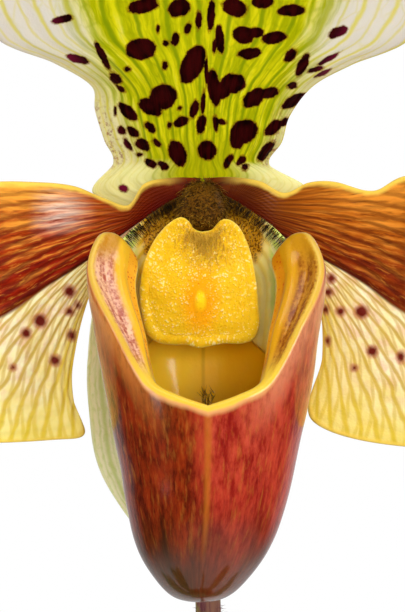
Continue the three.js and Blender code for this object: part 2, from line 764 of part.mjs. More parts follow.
// Stigma and anthers, under and beside the column
const stigmaPath = curve([[0, 9.0, 10.9], [0, 8.2, 8.4], [0, 6.8, 5.4]]);
const stigmaRadius = track([[0, 1.0], [0.45, 1.3], [0.8, 2.8], [1, 2.4]]);
add('stigma', rod(stigmaPath, (t) => stigmaRadius(t)[0], { sides: 9, steps: 4 }), STIGMA_GREEN, flower);

[['anther_left', -1], ['anther_right', 1]].forEach(([name, side]) => {
  const path = curve([[side * 4.9, 8.6, 15.2], [side * 5.5, 7.4, 13.8], [side * 5.4, 6.0, 12.4]]);
  const radius = (t) => 0.7 + 0.9 * Math.sin(Math.PI * t);
  add(name, rod(path, radius, { sides: 7, steps: 4 }), ANTHER_YELLOW, flower);
});

export default plant;
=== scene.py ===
"""A spotted slipper orchid in a clay pot: the finished pieces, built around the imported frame.

Shapes are worked out in millimetres and put into the meshes in metres. The flower faces -Y.
"""

import itertools
import json
import logging
import math
from dataclasses import dataclass, field
from enum import Enum
from typing import Callable, Sequence, Union

import bmesh
import bpy
import numpy as np
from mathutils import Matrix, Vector

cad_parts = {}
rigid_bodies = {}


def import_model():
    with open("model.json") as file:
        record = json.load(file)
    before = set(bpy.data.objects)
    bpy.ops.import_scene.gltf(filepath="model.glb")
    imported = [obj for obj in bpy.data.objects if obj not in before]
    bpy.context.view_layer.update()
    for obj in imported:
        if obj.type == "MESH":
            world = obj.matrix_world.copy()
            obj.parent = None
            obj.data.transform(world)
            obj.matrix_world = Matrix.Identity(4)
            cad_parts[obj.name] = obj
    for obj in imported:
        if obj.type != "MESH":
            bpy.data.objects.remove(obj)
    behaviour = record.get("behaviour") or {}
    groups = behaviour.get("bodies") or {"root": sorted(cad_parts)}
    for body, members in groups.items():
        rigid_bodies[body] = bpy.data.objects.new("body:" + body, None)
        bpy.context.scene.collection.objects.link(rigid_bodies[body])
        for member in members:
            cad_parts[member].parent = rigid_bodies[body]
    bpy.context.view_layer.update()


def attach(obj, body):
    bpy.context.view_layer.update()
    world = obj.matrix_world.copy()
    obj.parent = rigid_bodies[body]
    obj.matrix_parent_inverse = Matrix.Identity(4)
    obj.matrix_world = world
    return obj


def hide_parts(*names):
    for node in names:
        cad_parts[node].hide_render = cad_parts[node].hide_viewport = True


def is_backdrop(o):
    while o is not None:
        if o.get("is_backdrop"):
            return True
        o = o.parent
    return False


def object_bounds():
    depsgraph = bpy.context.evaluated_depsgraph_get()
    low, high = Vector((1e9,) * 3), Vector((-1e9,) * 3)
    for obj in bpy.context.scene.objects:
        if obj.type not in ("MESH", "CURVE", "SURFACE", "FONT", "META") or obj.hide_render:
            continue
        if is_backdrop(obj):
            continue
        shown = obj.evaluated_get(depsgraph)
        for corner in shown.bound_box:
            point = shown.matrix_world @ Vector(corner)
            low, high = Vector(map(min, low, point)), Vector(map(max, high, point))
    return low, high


Array = np.ndarray
Place = Callable[[Array, Array], Array]
Stations = Sequence[Sequence[float]]
Source = Union["Ink", float, str, Sequence[float]]

MM = 0.001
FLOWER = np.array([0.0, -30.0, 330.0])  # middle of the flower's front
FACE_DISTANCE = 350.0  # where the flower is looked in the face from, in front of its middle
MIX_TOP = 80.0
CROWN_FOOT = 75.0  # the crowns start this high, in the mix
HAIR_CORNERS = 10
LOG = logging.getLogger("orchid")


def unit(vectors: Array) -> Array:
    """Scales each vector to length one."""
    return vectors / np.maximum(np.linalg.norm(vectors, axis=-1, keepdims=True), 1e-12)


def ease(value: Array, low: float, high: float) -> Array:
    """Climbs from 0 at low to 1 at high, which may be below low: 3 s squared - 2 s cubed."""
    s = np.clip((value - low) / (high - low), 0.0, 1.0)
    return s * s * (3.0 - 2.0 * s)


def hill(value: Array, middle: float, width: float) -> Array:
    """A round hill of height one: e to the minus square of the distance over the width."""
    return np.exp(-(((value - middle) / width) ** 2))


def turns(sides: int) -> Array:
    """The angles of a ring's corners, evenly round from 0."""
    return 2 * np.pi * np.arange(sides) / sides


def grain(points: Array, size: float, seed: int) -> Array:
    """Smooth noise: random heights at the corners of a grid of cubes, eased between them.

    Args:
        points: Places in millimetres, along the last axis.
        size: Side of a cube in millimetres.
        seed: Which set of random heights.

    Returns:
        A height from -1 to 1 for each place.
    """
    scaled = points / size
    cell = np.floor(scaled).astype(np.int64)
    part = ease(scaled - cell, 0.0, 1.0)
    total = np.zeros(points.shape[:-1])
    for corner in itertools.product((0, 1), repeat=3):
        c = cell + np.array(corner)
        mixed = (c[..., 0] * 73856093) ^ (c[..., 1] * 19349663) ^ (c[..., 2] * 83492791)
        mixed = mixed ^ (seed * 2654435)
        mixed = ((mixed ^ (mixed >> 13)) * 1274126177) & 0x7FFFFFFF
        mixed = ((mixed ^ (mixed >> 15)) * 668265263) & 0x7FFFFFFF
        share = np.prod(np.where(np.array(corner) == 1, part, 1.0 - part), axis=-1)
        total += share * (mixed / 0x3FFFFFFF - 1.0)
    return total


class Track:
    """A smooth path of numbers through stations [t, a, b, ...], as a cubic through each pair."""

    def __init__(self, stations: Stations) -> None:
        """Keeps the stations, and at each the slope between its two neighbours."""
        table = np.array(stations, float)
        self.at, self.value = table[:, 0], table[:, 1:]
        before = np.maximum(np.arange(len(table)) - 1, 0)
        after = np.minimum(np.arange(len(table)) + 1, len(table) - 1)
        run = self.at[after] - self.at[before]
        self.slope = (self.value[after] - self.value[before]) / run[:, None]

    def __call__(self, t: Array) -> Array:
        """Reads the path.

        Args:
            t: Where along it.

        Returns:
            The numbers there, along a new last axis.
        """
        t = np.asarray(t, float)
        k = np.clip(np.searchsorted(self.at, t, side="left") - 1, 0, len(self.at) - 2)
        span = (self.at[k + 1] - self.at[k])[..., None]
        s = (t[..., None] - self.at[k][..., None]) / span
        rise = self.value[k + 1] - self.value[k]
        m0, m1 = self.slope[k] * span, self.slope[k + 1] * span
        bend = s**2 * (3 * rise - 2 * m0 - m1) + s**3 * (m0 + m1 - 2 * rise)
        return self.value[k] + s * m0 + bend

    def columns(self, t: Array) -> Array:
        """The same numbers, one array for each, to take apart."""
        return np.moveaxis(self(t), -1, 0)


def three_curves(low: Stations, middle: Stations, high: Stations) -> Place:
    """A sheet whose rows are parabolas through a margin, the midline and the other margin.

    Args:
        low: Stations [v, x, y, z] of the margin where u is -1.
        middle: The same for the midline, where u is 0.
        high: The same for the margin where u is 1.

    Returns:
        The function from u and v to a place.
    """
    lows, middles, highs = Track(low), Track(middle), Track(high)

    def place(u: Array, v: Array) -> Array:
        """The parabola's point at u, on the row v."""
        w = u[..., None]
        outer = lows(v) * (w * (w - 1) / 2) + highs(v) * (w * (w + 1) / 2)
        return outer + middles(v) * (1 - w * w)

    return place


def face_on(points: Array) -> tuple[Array, Array]:
    """Where a place on the flower is seen, on the plane of the flower's front.

    Args:
        points: Places from the middle of the flower's front, in millimetres.

    Returns:
        Distances to the right and up on that plane: x and z shrunk by the depth behind it.
    """
    shrink = FACE_DISTANCE / (FACE_DISTANCE + points[..., 1])
    return points[..., 0] * shrink, points[..., 2] * shrink


@dataclass
class Mesh:
    """A skin: places in millimetres, faces of four corners and faces of three."""

    points: Array
    quads: Array
    triangles: Array

    def at(self, middle: Array) -> "Mesh":
        """The same skin around another middle."""
        return Mesh(self.points + middle, self.quads, self.triangles)


def capped(rings: Array, foot: Sequence[float], head: Sequence[float]) -> Mesh:
    """Joins rings of corners into a closed skin, with a point in the middle of each end.

    Args:
        rings: Places by ring and corner, with the first ring at the foot.
        foot: The end point at the foot.
        head: The end point at the head.

    Returns:
        The skin, whose end points come last.
    """
    count, sides = rings.shape[:2]
    corner = np.arange(count * sides).reshape(count, sides)
    ahead = np.roll(corner, -1, axis=1)
    quads = np.stack([corner[:-1], ahead[:-1], ahead[1:], corner[1:]], -1).reshape(-1, 4)
    low = np.stack([ahead[0], corner[0], np.full(sides, corner.size)], -1)
    high = np.stack([corner[-1], ahead[-1], np.full(sides, corner.size + 1)], -1)
    points = np.concatenate([rings.reshape(-1, 3), [foot, head]])
    return Mesh(points, quads, np.concatenate([low, high]))


class Shell(Mesh):
    """A closed sheet with two faces that meet in rounded margins.

    The two faces stand half a thickness in front of and behind a middle surface place(u, v), with u
    from -1 to 1 and v from 0 to 1. A ring joins u = 1 to u = -1. A pole gathers the row v = 0.
    """

    back_relief = 0.35  # how much of the front's relief shows on the back

    def __init__(
        self,
        place: Place,
        across: int,
        along: int,
        thickness: Callable[[Array, Array], Array],
        *,
        ring: bool = False,
        pole: bool = False,
        relief: Callable[[Array, Array, Array], Array] = lambda u, v, p: np.zeros_like(u),
        margin: tuple[float, float] = (0.02, 0.012),
    ) -> None:
        """Works out the two faces.

        Args:
            place: The middle surface.
            across: Steps in u.
            along: Steps in v.
            thickness: Thickness in millimetres by u and v.
            ring: Whether the sheet closes on itself.
            pole: Whether the row v = 0 is one point.
            relief: Height of the front above the plain sheet, by u, v and place.
            margin: Shares of u and of v over which the margins are rounded.
        """
        columns = np.linspace(-1.0, 1.0, across + 1)[: across if ring else None]
        self.u, self.v = np.meshgrid(columns, np.linspace(0.0, 1.0, along + 1), indexing="ij")
        step = 1e-3
        along_u = place(self.u + step, self.v) - place(self.u - step, self.v)
        below = np.maximum(self.v - step, 0.02 if pole else 0.0)
        along_v = place(self.u, np.minimum(below + 2 * step, 1.0)) - place(self.u, below)
        normal = unit(np.cross(along_u, along_v))
        if pole:
            normal[:, 0] = unit(normal[:, 0].mean(0))
        self.middle = place(self.u, self.v)
        swell = self._rounding((1.0 - self.v) / margin[1])
        if not pole:
            swell = swell * self._rounding(self.v / margin[1])
        if not ring:
            swell = swell * self._rounding((1.0 - np.abs(self.u)) / margin[0])
        half = (thickness(self.u, self.v) * swell / 2)[..., None] * normal
        raised = (relief(self.u, self.v, self.middle))[..., None] * normal
        self.inside = np.ones(self.u.shape, bool)
        self.inside[:, -1] = False
        if not pole:
            self.inside[:, 0] = False
        if not ring:
            self.inside[[0, -1], :] = False
        front = self.middle + half + raised
        back = self.middle - half + np.where(self.inside[..., None], self.back_relief, 1.0) * raised
        self.points = self.spread(front, back)
        self._join(ring, pole)

    @staticmethod
    def _rounding(distance: Array) -> Array:
        """A quarter circle: the root of 1 less the square of 1 less the distance."""
        return np.sqrt(np.maximum(1.0 - (1.0 - np.clip(distance, 0.0, 1.0)) ** 2, 0.0))

    def _join(self, ring: bool, pole: bool) -> None:
        """Lists the quads and triangles of the two faces, which share their margins.

        Args:
            ring: Whether the sheet closes on itself.
            pole: Whether the row v = 0 is one point.
        """
        front = np.arange(self.u.size).reshape(self.u.shape)
        back = front.copy()
        back[self.inside] = self.u.size + np.arange(self.inside.sum())
        quads, triangles = [], [np.zeros((0, 3), int)]
        for sheet, forward in ((front, True), (back, False)):
            rows = np.concatenate([sheet, sheet[:1]]) if ring else sheet.copy()
            if pole:
                rows[:, 0] = rows[0, 0]
            a, b = rows[:-1, :-1], rows[1:, :-1]
            c, d = rows[1:, 1:], rows[:-1, 1:]
            cells = np.stack([a, b, c, d] if forward else [a, d, c, b], -1)
            if pole:
                triangles.append(cells[:, 0][:, [0, 2, 3] if forward else [0, 1, 2]])
                cells = cells[:, 1:]
            quads.append(cells.reshape(-1, 4))
        self.quads = np.concatenate(quads)
        self.triangles = np.concatenate(triangles)

    def spread(self, front: Array, back: Array) -> Array:
        """Puts values of the two faces in the order of the mesh's corners.

        Args:
            front: A value for each corner of the front.
            back: The same for the back, of which only the inside is used.

        Returns:
            One value, or one place, for each corner of the mesh.
        """
        return np.concatenate([front.reshape((-1, *front.shape[2:])), back[self.inside]])

    def fields(self, **grids: Union[Array, tuple[float, float]]) -> dict[str, Array]:
        """Puts numbers in the order of the mesh's corners.

        Args:
            **grids: By name, a grid for both faces, or a number for the front and one for the back.

        Returns:
            The numbers by name.
        """
        found = {}
        for name, grid in grids.items():
            pair = (grid, grid)
            if isinstance(grid, tuple):
                pair = tuple(np.full(self.u.shape, number) for number in grid)
            found[name] = self.spread(*pair)
        return found

    def from_margin(self) -> Array:
        """Millimetres to the nearer side margin: the length of the row up to the point."""
        steps = np.linalg.norm(np.diff(self.middle, axis=0), axis=-1)
        walked = np.concatenate([np.zeros((1, steps.shape[1])), np.cumsum(steps, 0)])
        return np.minimum(walked, walked[-1:] - walked)


class Tube(Mesh):
    """A closed rod: rings square to a path, with a point in the middle of each end."""

    def __init__(
        self,
        path: Array,
        radius: Array,
        sides: int,
        sideways: tuple[float, float, float] = (1.0, 0.0, 0.0),
        flatten: float = 1.0,
    ) -> None:
        """Sets the rings' points: path + radius (first cos angle + second sin angle).

        Args:
            path: Places along the middle, in millimetres.
            radius: Radius of each ring, or of each ring in each direction.
            sides: Corners of a ring.
            sideways: Direction of each ring's first corner.
            flatten: Radius square to that direction, as a share of the radius along it.
        """
        rings = len(path)
        tangent = unit(np.gradient(path, axis=0))
        hint = np.array(sideways, float)
        first = unit(hint - (tangent @ hint)[:, None] * tangent)[:, None]
        second = np.cross(tangent, first[:, 0])[:, None]
        angle = turns(sides)
        out = first * np.cos(angle)[:, None] + second * np.sin(angle)[:, None] * flatten
        reach = np.broadcast_to(radius.reshape(rings, -1), (rings, sides))
        mesh = capped(path[:, None] + reach[..., None] * out, path[0], path[-1])
        super().__init__(mesh.points, mesh.quads, mesh.triangles)
        self.normal = np.concatenate([unit(out).reshape(-1, 3), -tangent[:1], tangent[-1:]])


def through(points: Sequence[Sequence[float]], count: int) -> Array:
    """A smooth line through points, spaced by the roots of the distances between them.

    Args:
        points: The points, in millimetres.
        count: Number of places wanted.

    Returns:
        That many places along the line.
    """
    table = np.array(points, float)
    steps = np.sqrt(np.linalg.norm(np.diff(table, axis=0), axis=1))
    walked = np.concatenate([[0.0], np.cumsum(steps)]) / steps.sum()
    return Track(np.column_stack([walked, table]))(np.linspace(0.0, 1.0, count))


def spikes(roots: Array, heading: Array, bend: Array, length: Array, radius: float) -> Mesh:
    """Hairs, each a bent three-sided spike of three rings and a tip.

    A ring's middle is root + length (heading s + bend s squared), and its radius falls with s.

    Args:
        roots: Where each hair starts.
        heading: Its direction there.
        bend: How far it has bent aside at its tip, in lengths.
        length: Its length.
        radius: Radius at the root.

    Returns:
        All the hairs, ten corners to each.
    """
    count = len(roots)
    heading = unit(heading)
    side = unit(np.cross(heading, np.array([0.31, 0.52, 0.79])))[:, None]
    other = np.cross(heading, side[:, 0])[:, None]
    share = np.array([0.0, 0.4, 0.75])
    thin = (radius * (1 - 0.75 * share))[None, :, None, None]
    s = share[:, None]
    middle = roots[:, None] + length[:, None, None] * (heading[:, None] * s + bend[:, None] * s**2)
    angle = turns(3)[:, None]
    out = side * np.cos(angle) + other * np.sin(angle)
    rings = (middle[:, :, None] + out[:, None] * thin).reshape(count, HAIR_CORNERS - 1, 3)
    tips = roots + length[:, None] * (heading + bend)
    points = np.concatenate([rings, tips[:, None]], 1).reshape(-1, 3)
    first = HAIR_CORNERS * np.arange(count)[:, None, None]
    quads = [[k, (k + 1) % 3, (k + 1) % 3 + 3, k + 3] for k in range(3)]
    quads += [[a + 3, b + 3, c + 3, d + 3] for a, b, c, d in quads]
    triangles = [[0, 2, 1], [6, 7, 9], [7, 8, 9], [8, 6, 9]]
    faces = [(np.array(kind) + first).reshape(-1, len(kind[0])) for kind in (quads, triangles)]
    return Mesh(points, *faces)


def make_piece(
    name: str,
    shape: Mesh,
    material: bpy.types.Material,
    stands_for: Sequence[str] = (),
    fields: Union[dict[str, Array], None] = None,
) -> bpy.types.Object:
    """Puts a mesh in the scene, on the one body.

    Args:
        name: The piece's name.
        shape: Its skin.
        material: Its finish.
        stands_for: The nodes of the frame that it replaces.
        fields: Numbers for each corner, by name, that the finish reads.

    Returns:
        The new object.
    """
    quads, triangles = shape.quads, shape.triangles
    mesh = bpy.data.meshes.new(name)
    mesh.vertices.add(len(shape.points))
    mesh.vertices.foreach_set("co", (shape.points * MM).astype(np.float32).ravel())
    corners = np.concatenate([quads.ravel(), triangles.ravel()]).astype(np.int32)
    ends = 4 * len(quads) + 3 * np.arange(len(triangles))
    starts = np.concatenate([4 * np.arange(len(quads)), ends])
    mesh.loops.add(len(corners))
    mesh.loops.foreach_set("vertex_index", corners)
    mesh.polygons.add(len(starts))
    mesh.polygons.foreach_set("loop_start", starts.astype(np.int32))
    mesh.polygons.foreach_set("use_smooth", np.ones(len(starts), bool))
    for title, values in (fields or {}).items():
        data = mesh.attributes.new(title, "FLOAT", "POINT").data
        data.foreach_set("value", values.astype(np.float32).ravel())
    mesh.update(calc_edges=True)
    mesh.validate()
    piece = bpy.data.objects.new(name, mesh)
    bpy.context.scene.collection.objects.link(piece)
    mesh.materials.append(material)
    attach(piece, "root")
    if stands_for:
        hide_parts(*stands_for)
    LOG.info("%s: %d corners, %d faces", name, len(shape.points), len(starts))
    return piece


def flower_piece(
    name: str,
    shape: Mesh,
    material: bpy.types.Material,
    stands_for: Sequence[str] = (),
    fields: Union[dict[str, Array], None] = None,
) -> None:
    """Makes a piece in the same way, worked out around the middle of the flower's front."""
    make_piece(name, shape.at(FLOWER), material, stands_for, fields)


def shade(code: str) -> tuple[float, float, float, float]:
    """Turns a colour written as six hexadecimal digits into linear light.

    Args:
        code: The colour, as on a paint card.

    Returns:
        Red, green, blue and one.
    """
    parts = np.array([int(code[k : k + 2], 16) for k in (0, 2, 4)]) / 255.0
    linear = np.where(parts <= 0.04045, parts / 12.92, ((parts + 0.055) / 1.055) ** 2.4)
    return (*linear.tolist(), 1.0)


@dataclass(frozen=True, eq=False)
class Ink:
    """What one node gives out: a number, a colour or a place. Its arithmetic adds nodes.

    Attributes:
        nodes: The nodes that it is one of.
        socket: The socket that gives it out.
    """

    nodes: "Nodes"
    socket: bpy.types.NodeSocket

    def __add__(self, other: Source) -> "Ink":
        """This plus another."""
        return self.nodes.math("ADD", self, other)

    __radd__ = __add__

    def __sub__(self, other: Source) -> "Ink":
        """This less another."""
        return self.nodes.math("SUBTRACT", self, other)

    def __rsub__(self, other: float) -> "Ink":
        """A number less this."""
        return self.nodes.math("SUBTRACT", other, self)

    def __mul__(self, other: Source) -> "Ink":
        """This times another."""
        return self.nodes.math("MULTIPLY", self, other)

    def __abs__(self) -> "Ink":
        """This without its sign."""
        return self.nodes.math("ABSOLUTE", self)

    def or_more(self, other: Source) -> "Ink":
        """The larger of this and another."""
        return self.nodes.math("MAXIMUM", self, other)

    def step(self, low: float, high: float, ends: Sequence[float] = (0.0, 1.0)) -> "Ink":
        """Goes smoothly from the first end where this is low to the second where it is high.

        Args:
            low: Where it starts, which may be above high.
            high: Where it ends.
            ends: What it gives there.

        Returns:
            The step.
        """
        (lowest, first), (highest, last) = sorted(zip((low, high), ends))
        spans = {"From Min": lowest, "From Max": highest, "To Min": first, "To Max": last}
        return self.nodes.add(
            "MapRange", {"Value": self, **spans}, "Result", interpolation_type="SMOOTHSTEP"
        )

    def lines(self, width: float, soft: float) -> "Ink":
        """Lines where this passes a whole number, as wide as that share of their spacing."""
        return self.nodes.math("PINGPONG", self, 0.5).step(width / 2 + soft, width / 2)

    def noise(self, size: float, detail: float = 2.0, rough: float = 0.5) -> "Ink":
        """Cloudy noise from 0 to 1 over this place, with clouds of about that size."""
        sockets = {"Vector": self, "Scale": 1.0 / size, "Detail": detail, "Roughness": rough}
        return self.nodes.add("TexNoise", sockets, "Fac")

    def cells(self, size: float, feature: str = "F1") -> "Ink":
        """Distance from this place to a feature of scattered cells, in cell sizes."""
        sockets = {"Vector": self, "Scale": 1.0 / size}
        return self.nodes.add("TexVoronoi", sockets, "Distance", feature=feature)


class Nodes:
    """The nodes of a material or of the sky."""

    def __init__(self, owner: Union[bpy.types.Material, bpy.types.World]) -> None:
        """Starts the owner's nodes afresh."""
        owner.use_nodes = True
        self.tree = owner.node_tree
        self.tree.nodes.clear()

    def node(self, kind: str, sockets: dict, **choices: str) -> bpy.types.Node:
        """Adds a node.

        Args:
            kind: Its kind.
            sockets: What goes into it, by the name or number of the socket.
            **choices: Its other settings.

        Returns:
            The node.
        """
        node = self.tree.nodes.new(f"ShaderNode{kind}")
        for title, value in choices.items():
            setattr(node, title, value)
        for title, source in sockets.items():
            if isinstance(source, Ink):
                self.tree.links.new(source.socket, node.inputs[title])
            else:
                value = shade(source) if isinstance(source, str) else source
                node.inputs[title].default_value = value
        return node

    def add(self, kind: str, sockets: dict, out: Union[str, int] = 0, **choices: str) -> Ink:
        """Adds a node in the same way, and gives what comes out of one of its sockets."""
        return Ink(self, self.node(kind, sockets, **choices).outputs[out])

    def math(self, operation: str, *sources: Source) -> Ink:
        """One step of arithmetic."""
        return self.add("Math", dict(enumerate(sources)), operation=operation)

    def vector(self, x: Source, y: Source, z: Source = 0.0) -> Ink:
        """Joins three numbers in a place."""
        return self.add("CombineXYZ", {0: x, 1: y, 2: z})


@dataclass(frozen=True)
class Flesh:
    """How a petal's flesh takes light.

    Attributes:
        glow: Share of light that goes into it and out again.
        reach: How far that light travels, in millimetres.
        coat: Strength of its waxy coat.
        coat_roughness: Roughness of the coat.
        tint: Reach of red, green and blue light, as shares.
        shine: Strength of the plain reflection under the coat.
        coat_bend: How strongly the coat bends light, which sets how little it mirrors face on.
    """

    glow: float = 0.25
    reach: float = 1.2
    coat: float = 0.15
    coat_roughness: float = 0.25
    tint: tuple[float, float, float] = (1.0, 0.6, 0.3)
    shine: float = 0.05
    coat_bend: float = 1.3

    def sockets(self) -> dict[str, Union[float, tuple[float, float, float]]]:
        """The shader's sockets that hold these values."""
        return {
            "Subsurface Weight": self.glow,
            "Subsurface Scale": self.reach * MM,
            "Subsurface Radius": self.tint,
            "Coat Weight": self.coat,
            "Coat Roughness": self.coat_roughness,
            "Specular IOR Level": self.shine,
            "Coat IOR": self.coat_bend,
        }


class Paint(Nodes):
    """The nodes of one material."""

    def __init__(self, name: str) -> None:
        """Starts a material with nothing but the places on its piece, in millimetres."""
        self.material = bpy.data.materials.new(name)
        super().__init__(self.material)
        self.where = self.millimetres(1.0, 1.0, 1.0)

    def millimetres(self, *stretch: float) -> Ink:
        """The place on the piece in millimetres, each axis times its stretch."""
        place = self.add("TexCoord", {}, "Object")
        scale = tuple(share / MM for share in stretch)
        return self.add("VectorMath", {0: place, 1: scale}, operation="MULTIPLY")

    def field(self, name: str) -> Ink:
        """Reads one of the piece's own fields."""
        return self.add("Attribute", {}, "Fac", attribute_name=name)

    def fields(self, *names: str) -> list[Ink]:
        """Reads several of the piece's own fields."""
        return [self.field(name) for name in names]

    def noise(self, size: float, detail: float = 2.0, rough: float = 0.5) -> Ink:
        """Cloudy noise over the piece, with clouds of about that many millimetres."""
        return self.where.noise(size, detail, rough)

    def streaks(self, count: Ink, along: Ink, length: float, detail: float) -> Ink:
        """Noise drawn out along veins: as wide as one count, and as long as length millimetres."""
        return self.vector(count, along * (1.0 / length)).noise(1.0, detail, 0.6)

    def mix(self, share: Source, a: Source, b: Source) -> Ink:
        """Goes from colour a to colour b by a share."""
        return self.add("Mix", {0: share, 6: a, 7: b}, 2, data_type="RGBA")

    def over(self, base: Source, *layers: tuple[Source, Source]) -> Source:
        """Lays colours over a base, one after the other, each by its share."""
        for share, colour in layers:
            base = self.mix(share, base, colour)
        return base

    def bump(self, height: Source, depth: float) -> Ink:
        """Tilts the surface as if it stood out by depth millimetres where the height is 1."""
        return self.add("Bump", {"Strength": 1.0, "Distance": depth * MM, "Height": height})

    def finish(
        self,
        base: Source,
        roughness: Source,
        normal: Union[Ink, None] = None,
        flesh: Union[Flesh, None] = None,
        **others: Source,
    ) -> bpy.types.Material:
        """Adds the surface shader.

        Args:
            base: Its colour.
            roughness: Its roughness.
            normal: Its bumps.
            flesh: How its flesh takes light.
            **others: Other sockets of the shader, with _ for a space.

        Returns:
            The finished material.
        """
        sockets = {"Base Color": base, "Roughness": roughness}
        if normal is not None:
            sockets["Normal"] = normal
        if flesh is not None:
            sockets.update(flesh.sockets())
        sockets.update({title.replace("_", " "): value for title, value in others.items()})
        self.node("OutputMaterial", {0: self.add("BsdfPrincipled", sockets)})
        return self.material


class Side(Enum):
    """The side of the flower, as someone who looks it in the face sees it."""

    LEFT = -1
    RIGHT = 1


@dataclass(frozen=True)
class Spot:
    """One dark spot, on the plane of the flower's front.

    Attributes:
        x: Its middle, to the right, in millimetres.
        z: Its middle, upwards.
        wide: Half its width.
        tall: Half its height.
        tilt: Turn against the clock, in degrees.
    """

    x: float
    z: float
    wide: float
    tall: float
    tilt: float = 0.0

    def distance(self, x: Array, z: Array) -> Array:
        """Distance outside the spot's outline in millimetres, below zero inside.

        It is the distance from the middle in half widths, less one, times the mean half width.
        """
        turn = math.radians(self.tilt)
        dx, dz = x - self.x, z - self.z
        a = (dx * math.cos(turn) + dz * math.sin(turn)) / self.wide
        b = (dz * math.cos(turn) - dx * math.sin(turn)) / self.tall
        return (np.sqrt(a * a + b * b) - 1.0) * math.sqrt(self.wide * self.tall)


def spot_distance(spots: Sequence[Spot], x: Array, z: Array) -> Array:
    """Distance to the nearest of some spots, below zero inside one.

    Args:
        spots: The spots.
        x: Places to the right, on the plane of the flower's front.
        z: Places upwards.

    Returns:
        The distance in millimetres, at most 3.
    """
    nearest = np.full(x.shape, 3.0)
    for spot in spots:
        nearest = np.minimum(nearest, spot.distance(x, z))
    return nearest


